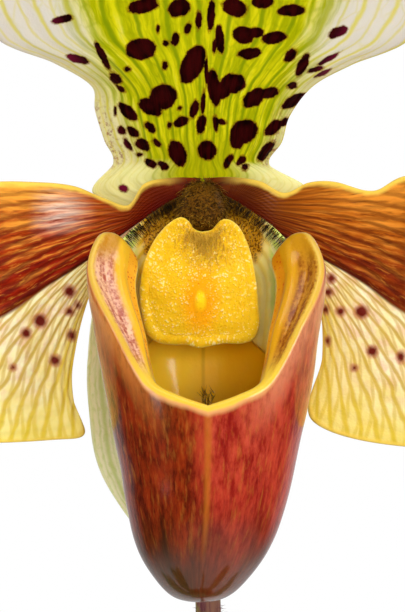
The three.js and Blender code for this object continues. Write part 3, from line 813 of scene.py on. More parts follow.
@dataclass
class DorsalSepal:
    """The upright sepal: narrow at the foot, flaring wide, with dark spots on yellow-green."""

    thickness: float = 1.1
    across: int = 200
    along: int = 216
    veins: float = 7.0
    # Upward places of the upper rows of spots: first, past the last, step
    upper_rows: tuple[float, float, float] = (51.0, 67.0, 3.4)
    row_step: float = 4.3
    low: Stations = (
        (0, -2.6, 15.2, 18.0), (0.06, -11.0, 17.6, 15.6), (0.12, -18.0, 19.0, 18.6),
        (0.18, -14.6, 18.0, 23.2), (0.26, -16.0, 17.0, 27.0), (0.34, -17.4, 15.5, 31.6),
        (0.42, -18.0, 13.5, 35.6), (0.5, -24.0, 10.5, 39.0), (0.58, -32.6, 8.0, 42.4),
        (0.7, -37.0, 4.0, 52.0), (0.82, -33.0, 0.0, 62.5), (0.92, -21.0, -4.0, 70.8),
        (1, -3.0, -6.5, 75.2),
    )
    middle: Stations = (
        (0, 0, 15.0, 18.4), (0.12, 0, 14.4, 21.5), (0.26, 0, 12.6, 27.0), (0.42, 0, 9.8, 34.5),
        (0.58, 0, 6.6, 43.5), (0.7, 0, 3.4, 51.5), (0.82, 0, -0.4, 60.5), (0.92, 0, -4.0, 69.0),
        (1, 0, -6.9, 75.6),
    )
    high: Stations = (
        (0, 2.6, 15.2, 18.0), (0.06, 10.5, 17.6, 15.8), (0.12, 17.2, 19.0, 18.8),
        (0.18, 10.9, 18.0, 22.8), (0.26, 12.9, 16.0, 26.8), (0.34, 14.2, 14.5, 31.0),
        (0.42, 18.0, 12.5, 35.6), (0.5, 24.0, 10.0, 38.6), (0.58, 32.6, 8.0, 42.1),
        (0.7, 37.5, 4.0, 51.5), (0.82, 33.5, 0.0, 62.0), (0.92, 21.5, -4.0, 70.4),
        (1, 3.0, -6.5, 75.2),
    )
    # Spots: middle to the right and up, half width, half height, tilt
    spots: Stations = (
        (-9.5, 40.0, 2.3, 1.7, 0), (-1.5, 37.6, 1.7, 3.2, -24), (1.8, 33.9, 1.0, 2.9, 8),
        (4.6, 34.6, 2.1, 1.5, 8), (3.0, 33.6, 1.4, 1.5, 0), (-6.0, 32.6, 2.1, 1.9, 0),
        (-8.0, 31.0, 1.9, 1.1, -28), (7.9, 32.4, 1.9, 1.2, 35), (10.1, 33.2, 1.5, 0.9, 20),
        (6.3, 27.2, 2.1, 1.8, 30), (5.3, 26.0, 1.1, 1.4, 0), (-3.8, 23.8, 1.3, 2.1, 18),
        (0.7, 24.3, 1.4, 1.5, 0), (6.3, 42.1, 1.7, 1.3, -15), (8.2, 42.5, 1.3, 0.8, 12),
        (11.1, 41.7, 1.9, 0.95, 8), (7.3, 39.3, 1.8, 0.85, 8), (-3.2, 28.7, 1.15, 0.75, 25),
        (-1.2, 30.7, 0.65, 1.4, -12), (-0.2, 28.3, 0.75, 1.5, -8), (2.0, 28.6, 0.45, 1.2, 5),
        (3.0, 28.7, 0.7, 0.4, 0), (-9.2, 46.6, 2.4, 1.1, 8), (-3.6, 46.3, 1.8, 1.3, 25),
        (5.0, 46.4, 2.0, 1.3, -20), (9.3, 47.4, 1.6, 1.1, 0), (13.8, 46.0, 2.1, 0.95, 4),
        (-4.2, 41.6, 0.6, 1.0, -15), (-5.7, 41.0, 0.5, 0.5, 0), (-2.3, 43.1, 0.5, 0.9, -20),
        (-5.8, 37.5, 0.45, 0.65, 0), (-6.9, 43.0, 0.3, 0.7, 0), (1.3, 45.2, 0.6, 2.4, -4),
        (-0.6, 44.4, 0.5, 1.4, 0), (2.7, 41.5, 0.65, 2.3, 4), (1.8, 40.2, 0.3, 1.2, 0),
        (0.1, 31.6, 0.35, 1.9, -4), (0.6, 36.6, 0.3, 2.2, 0), (-3.4, 30.8, 0.35, 0.35, 0),
        (-5.0, 28.2, 0.35, 0.5, 0), (13.6, 39.0, 1.3, 0.75, 45), (15.5, 37.6, 0.7, 1.8, -28),
        (13.8, 34.4, 0.85, 0.55, 25), (14.0, 32.0, 2.0, 0.85, 30), (17.5, 36.9, 1.3, 0.35, 15),
        (19.4, 38.4, 1.9, 0.4, 30), (18.5, 36.3, 1.3, 0.35, 25), (21.0, 42.6, 1.6, 0.75, 22),
        (10.8, 27.8, 1.7, 0.9, 40), (12.4, 28.6, 0.9, 0.5, 40), (9.6, 24.2, 0.75, 1.9, -38),
        (3.9, 22.6, 0.55, 1.2, -25), (5.7, 22.6, 0.55, 1.0, -30), (6.4, 21.4, 0.6, 0.5, 0),
        (-15.5, 39.1, 0.55, 2.3, 28), (-19.2, 38.5, 1.8, 0.6, -14), (-21.6, 44.6, 1.6, 0.6, 14),
        (-13.3, 35.6, 1.1, 0.7, -38), (-12.4, 34.0, 0.8, 0.4, -38), (-11.4, 30.2, 1.9, 0.85, -42),
        (-11.6, 37.0, 0.55, 0.4, -30), (-8.0, 27.9, 1.1, 0.6, -42), (-10.6, 27.1, 1.1, 0.6, -42),
        (-9.1, 25.2, 1.2, 0.85, -30), (-7.0, 25.5, 0.7, 0.45, -40), (-7.9, 22.1, 0.95, 0.65, -40),
        (-6.0, 21.8, 0.9, 0.6, -40), (-12.4, 27.3, 0.7, 0.5, -50), (-11.5, 25.2, 1.1, 0.4, -55),
        (-9.6, 23.6, 0.6, 0.35, 0), (-13.4, 30.2, 0.25, 0.7, 0), (12.2, 22.8, 0.9, 0.4, 45),
        (-12.2, 18.3, 0.6, 0.5, 0),
    )

    def upper_spots(self) -> list[Spot]:
        """Rows of spots above the named ones, smaller and fewer towards the top and the margins."""
        chance = np.random.default_rng(7)
        start, end, apart = self.upper_rows
        found = []
        for z in np.arange(start, end, apart):
            reach = 15.0 - 0.42 * (z - start)
            largest = 1.75 - 0.055 * (z - start)
            for x in np.arange(-reach, reach + 0.1, self.row_step):
                size = largest * (1.0 - 0.03 * abs(x)) * chance.uniform(0.65, 1.1)
                shift_x, shift_z, stretch, tilt = chance.uniform(-1, 1, 4)
                wide, tall = size * (1 + 0.3 * stretch), size * (1 - 0.3 * stretch)
                found.append(Spot(x + 1.1 * shift_x, z + 0.9 * shift_z, wide, tall, 40 * tilt))
        return found

    def relief(self, u: Array, v: Array, p: Array) -> Array:
        """Raised veins, and a groove down the middle: 0.09 cos(2 pi veins u) less a narrow hill."""
        calm = ease(v, 0.0, 0.12) * ease(np.abs(u), 1.0, 0.93)
        ribs = 0.09 * np.cos(2 * np.pi * self.veins * u)
        return calm * (ribs - 0.25 * hill(u, 0.0, 0.012) + 0.25 * grain(p, 7.0, 3))

    def build(self) -> None:
        """Builds and dresses the sepal, with its spots as they are seen from the front."""
        shell = Shell(
            three_curves(self.low, self.middle, self.high), self.across, self.along,
            lambda u, v: self.thickness * (1.0 - 0.45 * np.abs(u) ** 3), relief=self.relief,
        )
        x, z = face_on(shell.middle)
        spots = [Spot(*row) for row in self.spots] + self.upper_spots()
        aside = np.abs(x) / (9.0 + 0.55 * np.maximum(z - 20.0, 0.0))
        fields = shell.fields(
            spot=spot_distance(spots, x, z),
            pale=np.clip(ease(aside, 0.55, 1.22) + ease(z, 47.0, 70.0), 0.0, 1.0),
            lobe=ease(shell.v, 0.19, 0.15) * ease(np.abs(shell.u), 0.2, 0.5),
            vein=self.veins * shell.u,
            along=shell.v,
            rim=shell.from_margin(),
            side=(1.0, 0.0),
        )
        flower_piece("dorsal_sepal_skin", shell, self.dress(), ["dorsal_sepal"], fields)

    def dress(self) -> bpy.types.Material:
        """Yellow-green going to white, with fine dark green veins and near-black spots."""
        paint = Paint("dorsal_wax")
        pale, spot, along, lobe = paint.fields("pale", "spot", "along", "lobe")
        vein_count, rim = paint.fields("vein", "rim")
        cloud = paint.noise(5.0, 3.0)
        waver = vein_count + paint.noise(4.0, 2.0) * 0.24
        drawn = paint.streaks(waver * 3.2, along * 60.0, 8.0, 4.0)
        fade = (pale + (drawn - 0.5)).step(0.08, 0.85)
        # Partly the sepal's own off-white and partly painted shade: greyer towards the margin.
        white = paint.mix(rim.step(3.5, 0.0), "cfc8ba", "c4bbb2")
        white = paint.mix(along.step(0.6, 0.42) * 0.6, white, "dcd27c")
        green = paint.mix(pale.step(0.1, 0.8), "7a8a02", "cabd38")
        main = waver.lines(0.05, 0.12)
        forks = (waver * 2.0).lines(0.05, 0.16)
        net = paint.vector(waver * 2.4, along * 20.0).cells(1.0, "DISTANCE_TO_EDGE")
        net = net.step(0.1, 0.0) * cloud.step(0.35, 0.6)
        strength = 0.8 - pale * 0.3 - lobe * 0.45
        foot = along.step(0.3, 0.2) * abs(vein_count).step(4.5, 2.0)
        waist = along.step(0.14, 0.2) * along.step(0.42, 0.3)
        stipple = paint.noise(0.8, 4.0, 0.6).step(0.5, 0.64) * rim.step(3.8, 1.5)
        ground = paint.over(
            paint.mix(drawn.step(0.36, 0.64), "9da000", "d0c80a"),
            (fade, white),
            (lobe * 0.85, "dfd992"),
            (main * strength, green),
            (forks * (0.5 - lobe * 0.3), green),
            (net * 0.3, green),
            (foot * 0.5, "a3a006"),
            (stipple * waist * 0.75, "8a4a3c"),
        )
        ragged = spot + (paint.noise(1.2, 4.0, 0.62) - 0.5)
        inner = paint.over(
            paint.mix(drawn.step(0.35, 0.65), "0d0000", "300303"),
            (ragged.step(-0.5, -1.3) * 0.5, "360404"),
            (pale.step(0.6, 1.0), "68112c"),
        )
        edged = paint.mix(ragged.step(0.3, 0.02) * 0.75, ground, "7a4a04")
        base = paint.mix(ragged.step(0.05, -0.08), edged, inner)
        base = paint.mix(paint.field("side"), paint.mix(0.5, base, "d8d98a"), base)
        height = paint.noise(0.35, 2.0) - main * 0.8
        roughness = 0.5 - ragged.step(0.1, -0.2) * 0.12
        flesh = Flesh(glow=0.2, coat=0.0, shine=0.03)
        return paint.finish(base, roughness, paint.bump(height, 0.05), flesh)


@dataclass
class Synsepal:
    """The two lower sepals in one, pale green behind the pouch."""

    thickness: float = 1.1
    veins: int = 6
    across: int = 80
    along: int = 130
    low: Stations = (
        (0, -2.6, 15.2, 15.6), (0.12, -10.5, 17.2, 11.0), (0.25, -17.0, 18.4, 2.0),
        (0.4, -18.8, 18.8, -9.0), (0.55, -18.5, 18.4, -17.5), (0.7, -17.2, 18.0, -25.5),
        (0.82, -13.8, 17.2, -32.0), (0.92, -8.4, 16.4, -38.6), (1, -2.0, 15.8, -43.5),
    )
    middle: Stations = (
        (0, 0, 15.0, 15.2), (0.12, -0.2, 15.6, 9.5), (0.4, -0.8, 16.6, -9.0),
        (0.7, -1.0, 16.8, -26.0), (1, -0.8, 15.6, -44.0),
    )
    high: Stations = (
        (0, 2.6, 15.2, 15.6), (0.12, 10.0, 17.2, 11.0), (0.25, 16.4, 18.4, 2.0),
        (0.4, 18.2, 18.8, -9.0), (0.55, 16.6, 18.4, -18.5), (0.7, 13.0, 18.0, -28.0),
        (0.82, 9.4, 17.2, -34.5), (0.92, 5.2, 16.4, -39.8), (1, 0.6, 15.8, -43.5),
    )

    def build(self) -> None:
        """Builds and dresses the sepal, ribbed along its veins."""
        shell = Shell(
            three_curves(self.low, self.middle, self.high), self.across, self.along,
            lambda u, v: self.thickness * (1.0 - 0.4 * np.abs(u) ** 3),
            relief=lambda u, v, p: (
                0.1 * np.cos(2 * np.pi * self.veins * u) * ease(np.abs(u), 1.0, 0.9)
            ),
        )
        fields = shell.fields(vein=self.veins * shell.u, along=shell.v)
        flower_piece("synsepal_skin", shell, self.dress(), ["synsepal"], fields)

    def dress(self) -> bpy.types.Material:
        """Pale cream green with soft green veins, greener at the foot."""
        paint = Paint("synsepal_wax")
        along, vein = paint.fields("along", "vein")
        vein = vein + paint.noise(4.0) * 0.3
        fleck = paint.vector(vein * 5.0, along * 40.0).noise(1.0, 3.0)
        ground = paint.over(
            paint.mix(paint.noise(7.0, 3.0), "dcd8a6", "e8e2bf"),
            (vein.lines(0.08, 0.2) * 0.5, "b4bf58"),
            ((vein * 3.0).lines(0.1, 0.25) * 0.35, "bcc96c"),
            (fleck.step(0.48, 0.66) * 0.4, "b9c76a"),
            (along.step(0.3, 0.0), "b7c654"),
        )
        return paint.finish(ground, 0.5, paint.bump(paint.noise(0.4), 0.05), Flesh())


@dataclass
class Petal:
    """A broad wavy petal: mahogany above the midrib, cream with dots below, with a yellow margin.

    Attributes:
        side: Which of the two it is.
        low: Stations of its lower margin, from the middle of the flower out.
        middle: Stations of its midrib.
        high: Stations of its upper margin.
        dots: Dark dots on the lower half, in the same form as spots.
        tones: Colours above the midrib, from the dark foot through the blade to the top.
        sheen: Strength of the painted highlight high on the blade, a pale streaked patch laid into
            the colour in place of a reflection.
        thickness: Thickness of the foot, in millimetres.
        across: Steps across the blade.
        along: Steps along it.
        fan_points: Where the upper and the lower fan of veins start: out and up.
        vein_angles: Angle between two veins of each fan.
    """

    side: Side
    low: Stations
    middle: Stations
    high: Stations
    dots: Stations
    tones: tuple[str, str, str, str]
    sheen: float
    thickness: float = 1.0
    across: int = 150
    along: int = 230
    fan_points: Stations = ((4.0, 15.5), (13.0, 11.0))
    vein_angles: tuple[float, float] = (0.042, 0.07)

    def fans(self, shell: Shell) -> dict[str, Array]:
        """Counts the veins that fan out of the petal's foot, above and below the midrib.

        A count is the angle around the fan's point over the angle between two veins. The lower fan
        bends down with distance, by the distance over 75 mm.

        Args:
            shell: The petal's sheet.

        Returns:
            The two counts and the distance from the foot, by name.
        """
        x, z = face_on(shell.middle)
        out = x * self.side.value
        upper, lower = self.fan_points
        above = np.arctan2(z - upper[1], np.maximum(out - upper[0], 0.3)) / self.vein_angles[0]
        reach = np.hypot(out - lower[0], z - lower[1])
        down = np.arctan2(lower[1] - z, np.maximum(out - lower[0], 0.02))
        below = (down - reach / 75.0) / self.vein_angles[1]
        return {"above": above, "below": below, "reach": reach}

    def relief(self, u: Array, v: Array, p: Array) -> Array:
        """Soft ripples along the petal, a fold at the midrib and a rolled margin."""
        calm = ease(np.abs(u), 1.0, 0.95) * ease(v, 0.05, 0.25) * ease(v, 1.0, 0.9)
        ripples = 0.1 * np.sin(2 * np.pi * 9 * u) + 0.45 * grain(p, 9.0, 5)
        return calm * ripples - 0.3 * hill(u, 0.0, 0.03) * ease(v, 0.0, 0.15)

    def build(self) -> None:
        """Builds and dresses the petal, with its dots as they are seen from the front."""
        shell = Shell(
            three_curves(self.low, self.middle, self.high), self.across, self.along,
            lambda u, v: self.thickness * (1.0 - 0.5 * np.abs(u) ** 4) * (1.0 - 0.4 * v),
            relief=self.relief,
        )
        x, z = face_on(shell.middle)
        left = float(self.side is Side.LEFT)
        fields = shell.fields(
            upper=shell.u,
            out=np.abs(x),
            dot=spot_distance([Spot(*row) for row in self.dots], x, z),
            rim=shell.from_margin(),
            side=(left, 1.0 - left),
            **self.fans(shell),
        )
        name = f"petal_{self.side.name.lower()}"
        flower_piece(f"{name}_skin", shell, self.dress(), [name], fields)

    def dress(self) -> bpy.types.Material:
        """Dark streaks on mahogany that warms to gold, above cream with green-gold veins."""
        paint = Paint(f"petal_{self.side.name.lower()}_wax")
        upper, out, rim, reach = paint.fields("upper", "out", "rim", "reach")
        line = upper.step(-0.02, 0.01) * upper.step(0.09, 0.02)
        edge = rim - paint.noise(2.4) * 0.9
        yellow = edge.step(0.85, -0.1) * out.step(2.0, 9.0)
        base = paint.over(
            paint.mix(upper.step(-0.015, 0.02), self.cream(paint), self.mahogany(paint)),
            (line * out.step(40.0, 14.0), "3f0a02"),
            (yellow * 0.85, "f2cd52"),
        )
        base = paint.mix(paint.field("side"), paint.mix(0.45, base, "dcc070"), base)
        bumps = paint.noise(0.4) + paint.streaks(paint.field("above"), reach, 12.0, 3.0) * 0.8
        return paint.finish(base, 0.4, paint.bump(bumps, 0.07), Flesh(glow=0.15, coat=0.35))

    def mesh_of_veins(self, paint: Paint, count: Ink, slant: float, width: float) -> Ink:
        """Two families of veins that cross at a shallow angle.

        Args:
            paint: The material's nodes.
            count: The count of veins around the fan.
            slant: Veins that each family shifts aside for each millimetre outwards.
            width: Width of a vein, as a share of the spacing.

        Returns:
            How much of a vein there is, from 0 to 1.
        """
        reach = paint.field("reach")
        one = (count + reach * slant).lines(width, 0.22)
        other = (count - reach * (0.8 * slant)).lines(width, 0.2)
        return one.or_more(other * 0.65)

    def mahogany(self, paint: Paint) -> Ink:
        """Colours above the midrib.

        Args:
            paint: The material's nodes.

        Returns:
            The colour.
        """
        upper, out, reach = paint.fields("upper", "out", "reach")
        foot, deep, warm, gold = self.tones
        wander = paint.field("above") + paint.noise(5.0, 2.0) * 0.9
        drawn = paint.streaks(wander, reach, 9.0, 5.0)
        height = upper + (drawn - 0.5) * 0.8
        far = out.step(15.0, 26.0)
        bright = drawn.step(0.46, 0.7) * (out.step(10.0, 20.0) * height.step(-0.1, 0.5))
        net = self.mesh_of_veins(paint, wander * 0.55, 0.1, 0.16)
        dark = (net * 0.75).or_more(drawn.step(0.46, 0.3))
        fade = height.step(1.6, 0.5)
        dash = paint.streaks(wander * 2.0, reach, 3.6, 3.0)
        away = out.step(7.0, 18.0)
        high = upper.step(0.42, 0.7) * upper.step(1.0, 0.76)
        band = out.step(16.0, 22.5) * out.step(27.5, 22.5)
        # Painted highlight: a pale streaked patch high on the outer blade, laid into the colour in
        # place of a reflection.
        sheen = high * band * drawn.step(0.3, 0.66)
        return paint.over(
            paint.mix(height.step(0.1, 0.75), deep, warm),
            (height.step(0.55, 0.98) * far, gold),
            (bright * 0.62, gold),
            (dark * 0.85 * fade, foot),
            (dash.step(0.54, 0.7) * away * 0.42, gold),
            (dash.step(0.46, 0.32) * fade * 0.5, foot),
            (sheen * self.sheen, "fff0e0"),
            ((out + drawn * 6.0).step(24.0, 9.0) * 0.8, foot),
        )

    def cream(self, paint: Paint) -> Ink:
        """Colours below the midrib.

        Args:
            paint: The material's nodes.

        Returns:
            The colour.
        """
        upper, out = paint.fields("upper", "out")
        cloud = paint.noise(4.0, 3.0)
        below = paint.field("below") + paint.noise(5.0, 2.0) * 0.8
        blush = paint.noise(2.6, 3.0).step(0.42, 0.66) * upper.step(-0.8, -0.45)
        veins = self.mesh_of_veins(paint, below, 0.11, 0.12)
        olive = paint.mix(upper.step(-0.3, -0.9), "c29a14", "dcbc14")
        dot = paint.field("dot") + (paint.noise(0.7) - 0.5) * 0.4
        return paint.over(
            paint.mix(cloud.step(0.3, 0.7), "fcf2c4", "f2e094"),
            (blush * 0.5, "e6b09a"),
            (upper.step(-0.35, -1.0) * 0.75, "f2d95c"),
            (veins * 0.78, olive),
            (dot.step(0.6, 0.05) * 0.65, "b8664a"),
            (dot.step(0.2, -0.4), "6c1e14"),
            (out.step(15.5, 11.5), "e0b48a"),
        )


LEFT_PETAL = Petal(
    side=Side.LEFT,
    low=(
        (0, -0.3, 13.0, 18.2), (0.1, -4.6, 12.8, 15.8), (0.2, -9.0, 12.4, 13.0),
        (0.3, -14.8, 12.0, 9.6), (0.42, -18.6, 12.0, 1.5), (0.54, -20.9, 12.2, -10.0),
        (0.6, -20.6, 12.1, -15.5), (0.66, -18.9, 12.0, -20.5), (0.72, -23.6, 11.0, -21.4),
        (0.8, -37.0, 8.4, -21.7), (0.92, -56.0, 3.4, -19.4), (1, -65.4, 1.0, -10.6),
    ),
    middle=(
        (0, -0.3, 13.0, 19.0), (0.1, -4.6, 12.8, 17.1), (0.2, -8.6, 12.3, 14.5),
        (0.3, -13.2, 11.6, 11.2), (0.42, -18.8, 10.6, 7.0), (0.54, -24.6, 9.6, 3.2),
        (0.66, -32.3, 8.2, -2.0), (0.8, -46.0, 5.4, -6.6), (0.92, -58.0, 2.6, -8.4),
        (1, -66.4, 0.6, -8.4),
    ),
    high=(
        (0, -0.3, 13.0, 20.6), (0.1, -4.8, 12.6, 20.6), (0.2, -9.4, 12.2, 19.6),
        (0.27, -12.0, 12.6, 16.2), (0.34, -16.0, 12.0, 17.4), (0.42, -20.6, 11.0, 19.2),
        (0.54, -27.2, 10.0, 19.8), (0.66, -34.6, 8.4, 19.6), (0.8, -50.0, 4.8, 17.4),
        (0.92, -61.4, 2.0, 9.4), (1, -66.0, 0.6, -5.4),
    ),
    dots=(
        (-20.7, 2.3, 0.8, 0.8), (-19.5, 0.2, 0.35, 0.45), (-20.7, -0.8, 0.55, 0.55),
        (-25.2, -2.3, 0.95, 0.95), (-27.4, -4.2, 0.7, 0.7), (-20.5, -4.5, 0.6, 0.7),
        (-23.0, -8.4, 0.7, 0.75), (-29.5, -9.5, 0.4, 0.4), (-34.0, -12.0, 0.5, 0.5),
        (-36.0, -6.5, 0.6, 0.6), (-41.0, -10.5, 0.5, 0.5),
    ),
    tones=("4c0903", "941d06", "b4480c", "f3a438"),
    sheen=0.62,
)

RIGHT_PETAL = Petal(
    side=Side.RIGHT,
    low=(
        (0, 0.3, 13.0, 18.2), (0.1, 4.6, 12.8, 15.8), (0.2, 9.0, 12.4, 13.0),
        (0.3, 14.8, 12.0, 9.4), (0.42, 18.6, 12.0, 1.5), (0.54, 19.2, 12.2, -8.0),
        (0.66, 17.8, 12.0, -18.6), (0.8, 36.0, 8.4, -22.6), (0.92, 55.6, 3.4, -19.8),
        (1, 65.4, 1.0, -11.0),
    ),
    middle=(
        (0, 0.3, 13.0, 19.0), (0.1, 4.6, 12.8, 17.1), (0.2, 8.6, 12.3, 14.5),
        (0.3, 13.2, 11.6, 11.0), (0.42, 19.4, 10.6, 7.4), (0.54, 25.4, 9.6, 3.8),
        (0.66, 33.0, 8.2, -1.6), (0.8, 46.0, 5.4, -6.4), (0.92, 58.0, 2.6, -8.8),
        (1, 66.4, 0.6, -9.0),
    ),
    high=(
        (0, 0.3, 13.0, 20.6), (0.1, 4.8, 12.6, 20.7), (0.2, 9.4, 12.2, 20.0),
        (0.27, 13.2, 12.6, 18.2), (0.34, 17.0, 12.0, 19.8), (0.42, 21.0, 11.0, 19.9),
        (0.54, 27.2, 10.0, 18.4), (0.66, 33.6, 8.4, 20.8), (0.8, 50.0, 4.8, 18.0),
        (0.92, 61.2, 2.0, 9.6), (1, 66.0, 0.6, -5.8),
    ),
    dots=(
        (20.0, 4.3, 0.6, 0.65), (19.6, 2.2, 0.6, 0.6), (19.2, -0.5, 0.45, 0.55),
        (21.5, -0.8, 0.6, 0.6), (24.7, -0.9, 0.95, 0.9), (26.4, -7.0, 0.75, 0.8),
        (30.8, -7.9, 0.6, 0.8), (23.6, -9.6, 0.4, 0.4), (19.5, -5.4, 0.4, 0.6),
        (35.5, -11.5, 0.5, 0.5), (38.0, -6.0, 0.6, 0.6),
    ),
    tones=("420901", "862c04", "b8600c", "e08e2c"),
    sheen=0.0,
)


@dataclass
class Pouch:
    """The lip: a deep glossy pouch with a yellow rim and two side lobes folded inwards."""

    thickness: float = 1.1
    across: int = 270
    along: int = 150
    wall_share: float = 0.72
    streak_ring: float = 15.0
    # The wall: share, up, half width, depth, its middle backwards and to the right
    ring: Stations = (
        (0, -44.8, 0, 0, -5.5, -0.45), (0.08, -43.9, 3.7, 3.5, -5.6, -0.4),
        (0.16, -41.5, 6.4, 6.1, -5.8, -0.25), (0.26, -37.2, 9.3, 8.7, -5.8, 0.1),
        (0.38, -31.0, 11.5, 10.8, -5.4, 0.55), (0.52, -23.0, 13.2, 12.4, -4.8, 0.75),
        (0.66, -14.0, 15.1, 13.5, -4.4, 0.8), (0.8, -3.0, 16.9, 14.3, -4.0, 0.7),
        (0.9, 5.0, 17.9, 15.0, -3.9, 0.55), (0.96, 9.8, 16.6, 15.6, -4.0, 0.4),
        (1, 13.0, 14.6, 16.9, -4.2, 0.25),
    )
    # The rim, by half turns from the front: share of the wall's stations, width of the fold
    rim: Stations = (
        (0, 0.64, 1.3), (0.1, 0.662, 1.4), (0.19, 0.689, 2.3), (0.25, 0.735, 4.5),
        (0.31, 0.795, 6.5), (0.37, 0.845, 7.6), (0.43, 0.893, 8.0), (0.49, 0.94, 7.6),
        (0.55, 0.972, 6.0), (0.61, 0.965, 3.6), (0.68, 0.925, 1.7), (0.78, 0.9, 1.2),
        (0.88, 0.93, 1.1), (1, 0.985, 1.0),
    )
    rings: Track = field(init=False)
    rims: Track = field(init=False)

    def __post_init__(self) -> None:
        """Makes the smooth paths through the stations."""
        self.rings, self.rims = Track(self.ring), Track(self.rim)

    def place(self, u: Array, v: Array) -> Array:
        """A point of the pouch: up the wall to the rim, then over it and inwards.

        The wall is an oval ring at the height that v gives, with u as the angle from the front in
        half turns. Past the rim the point moves inwards, up over a low arch and then down.

        Args:
            u: Angle from the front, in half turns.
            v: From the tip at 0, by the rim, to the inner edge of the fold at 1.

        Returns:
            The place in millimetres.
        """
        angle, away = np.pi * u, np.abs(u)
        top, turned = self.rims.columns(np.where(away > 1, 2 - away, away))
        climb = np.minimum(v / self.wall_share, 1.0)
        z, half, depth, middle_y, middle_x = self.rings.columns(top * climb)
        over = np.maximum(self.past_rim(v), 0.0)
        level = np.zeros_like(angle)
        inward = unit(np.stack([-np.sin(angle), 0.55 + 0.45 * np.cos(angle), level], -1))
        x, y = middle_x + half * np.sin(angle), middle_y - depth * np.cos(angle)
        place = np.stack([x, y, z], -1) + inward * (turned * over)[..., None]
        drop = 0.35 + 0.35 * ease(away, 0.46, 0.56)
        place[..., 2] += 0.4 * np.sin(np.pi * over) - drop * turned * over * over
        return place

    def past_rim(self, v: Array) -> Array:
        """Share of the way over the fold, below zero on the wall."""
        return (v - self.wall_share) / (1.0 - self.wall_share)

    def relief(self, u: Array, v: Array, p: Array) -> Array:
        """A rounded ridge and a hollow along each side lobe, and a vein down the front."""
        over = self.past_rim(v)
        turned = self.rims.columns(np.minimum(np.abs(u), 1.0))[1]
        lobe = ease(turned, 3.0, 7.0) * ease(over, 0.0, 0.2) * ease(np.abs(u), 0.56, 0.44)
        folds = lobe * (0.7 * hill(over, 0.62, 0.13) - 0.6 * hill(over, 0.3, 0.16))
        vein = 0.16 * hill(u, 0.0, 0.012) * ease(v, 0.1, 0.25) * ease(v, 0.72, 0.66)
        rough = 0.12 * grain(p, 5.0, 11) * ease(v, 0.75, 0.6)
        return folds * ease(over, 1.0, 0.9) + vein + rough

    def build(self) -> None:
        """Builds and dresses the pouch."""
        shell = Shell(
            self.place, self.across, self.along, lambda u, v: self.thickness * (1.0 - 0.25 * v),
            ring=True, pole=True, relief=self.relief, margin=(0.0, 0.018),
        )
        x, z = face_on(shell.middle)
        over = self.past_rim(shell.v)
        top, turned = self.rims.columns(np.minimum(np.abs(shell.u), 1.0))
        fields = shell.fields(
            outer=(1.0, 0.0),
            over=over,
            turned=turned * np.clip(over, 0.0, 1.0),
            lobe=ease(turned, 2.6, 5.5),
            away=np.abs(shell.u),
            right=x,
            up=z,
            below=self.rings.columns(top)[0] - shell.middle[..., 2],
            round_x=self.streak_ring * np.sin(np.pi * shell.u),
            round_y=self.streak_ring * np.cos(np.pi * shell.u),
        )
        flower_piece("pouch_skin", shell, self.dress(), ["pouch"], fields)

    def outside(self, paint: Paint) -> Ink:
        """Colours of the outer wall: red-brown with upright streaks, ochre and pink by the rim,
        with painted light and shade.

        Args:
            paint: The material's nodes.

        Returns:
            The colour.
        """
        right, below, up, away, lobe = paint.fields("right", "below", "up", "away", "lobe")
        turn_x, turn_y = paint.fields("round_x", "round_y")
        thin = paint.vector(turn_x, turn_y, up * 0.36).noise(1.0, 5.0, 0.66)
        broad = paint.vector(turn_x, turn_y, up * 0.3).noise(4.5, 3.0)
        mixed = thin * 0.62 + broad * 0.38
        # Partly the wall's own tones and partly painted light and shade: the left half is painted
        # darker and browner, the right half lighter and redder.
        shaded_left_tone = paint.mix(mixed.step(0.34, 0.64), "400c02", "8e2c0a")
        lit_right_tone = paint.mix(mixed.step(0.34, 0.64), "841610", "bc4029")
        fleck = paint.vector(turn_x, turn_y, up * 0.22).noise(0.75, 3.0, 0.6)
        # Partly the wall's own pink flush and partly a painted highlight: it lies only right of the
        # vein, on the lit side.
        flush = below.step(16.0, 3.0) * right.step(0.0, 2.0) * mixed.step(0.42, 0.7)
        low = up + (broad - 0.5) * 10.0
        ochre = (below + thin * 7.0).step(12.0, 4.0) * away.step(0.08, 0.3)
        # The ochre by the rim and the flank colour are painted lighter and pinker on the right:
        # painted light over their own colour.
        light = paint.mix(right.step(-1.0, 5.0), "d8883c", "dc9268")
        flank = away.step(0.3, 0.5) * (up + thin * 8.0).step(-24.0, 2.0)
        warm = paint.mix(right.step(-1.0, 5.0), "cc7440", "d88460")
        vein = away.step(0.02, 0.002) * up.step(-42.0, -30.0)
        seam = below + lobe * 0.55 + broad * 1.2
        rim = paint.mix(lobe, "ecc444", "e2b864")
        return paint.over(
            paint.mix((right + broad * 2.0).step(-2.0, 3.0), shaded_left_tone, lit_right_tone),
            (fleck.step(0.5, 0.74) * 0.36, "b87428"),
            (fleck.step(0.44, 0.28) * 0.3, "4a0c06"),
            (flush * 0.5, "c4563e"),
            (low.step(-30.0, -42.0) * 0.8, "3c2204"),
            (ochre * (0.38 + mixed.step(0.38, 0.6) * 0.42), light),
            (flank * (0.2 + mixed.step(0.38, 0.6) * 0.4), warm),
            (vein * 0.5, "b8701a"),
            (seam.step(1.9, 0.9), "dfa062"),
            (seam.step(1.05, 0.5), rim),
        )

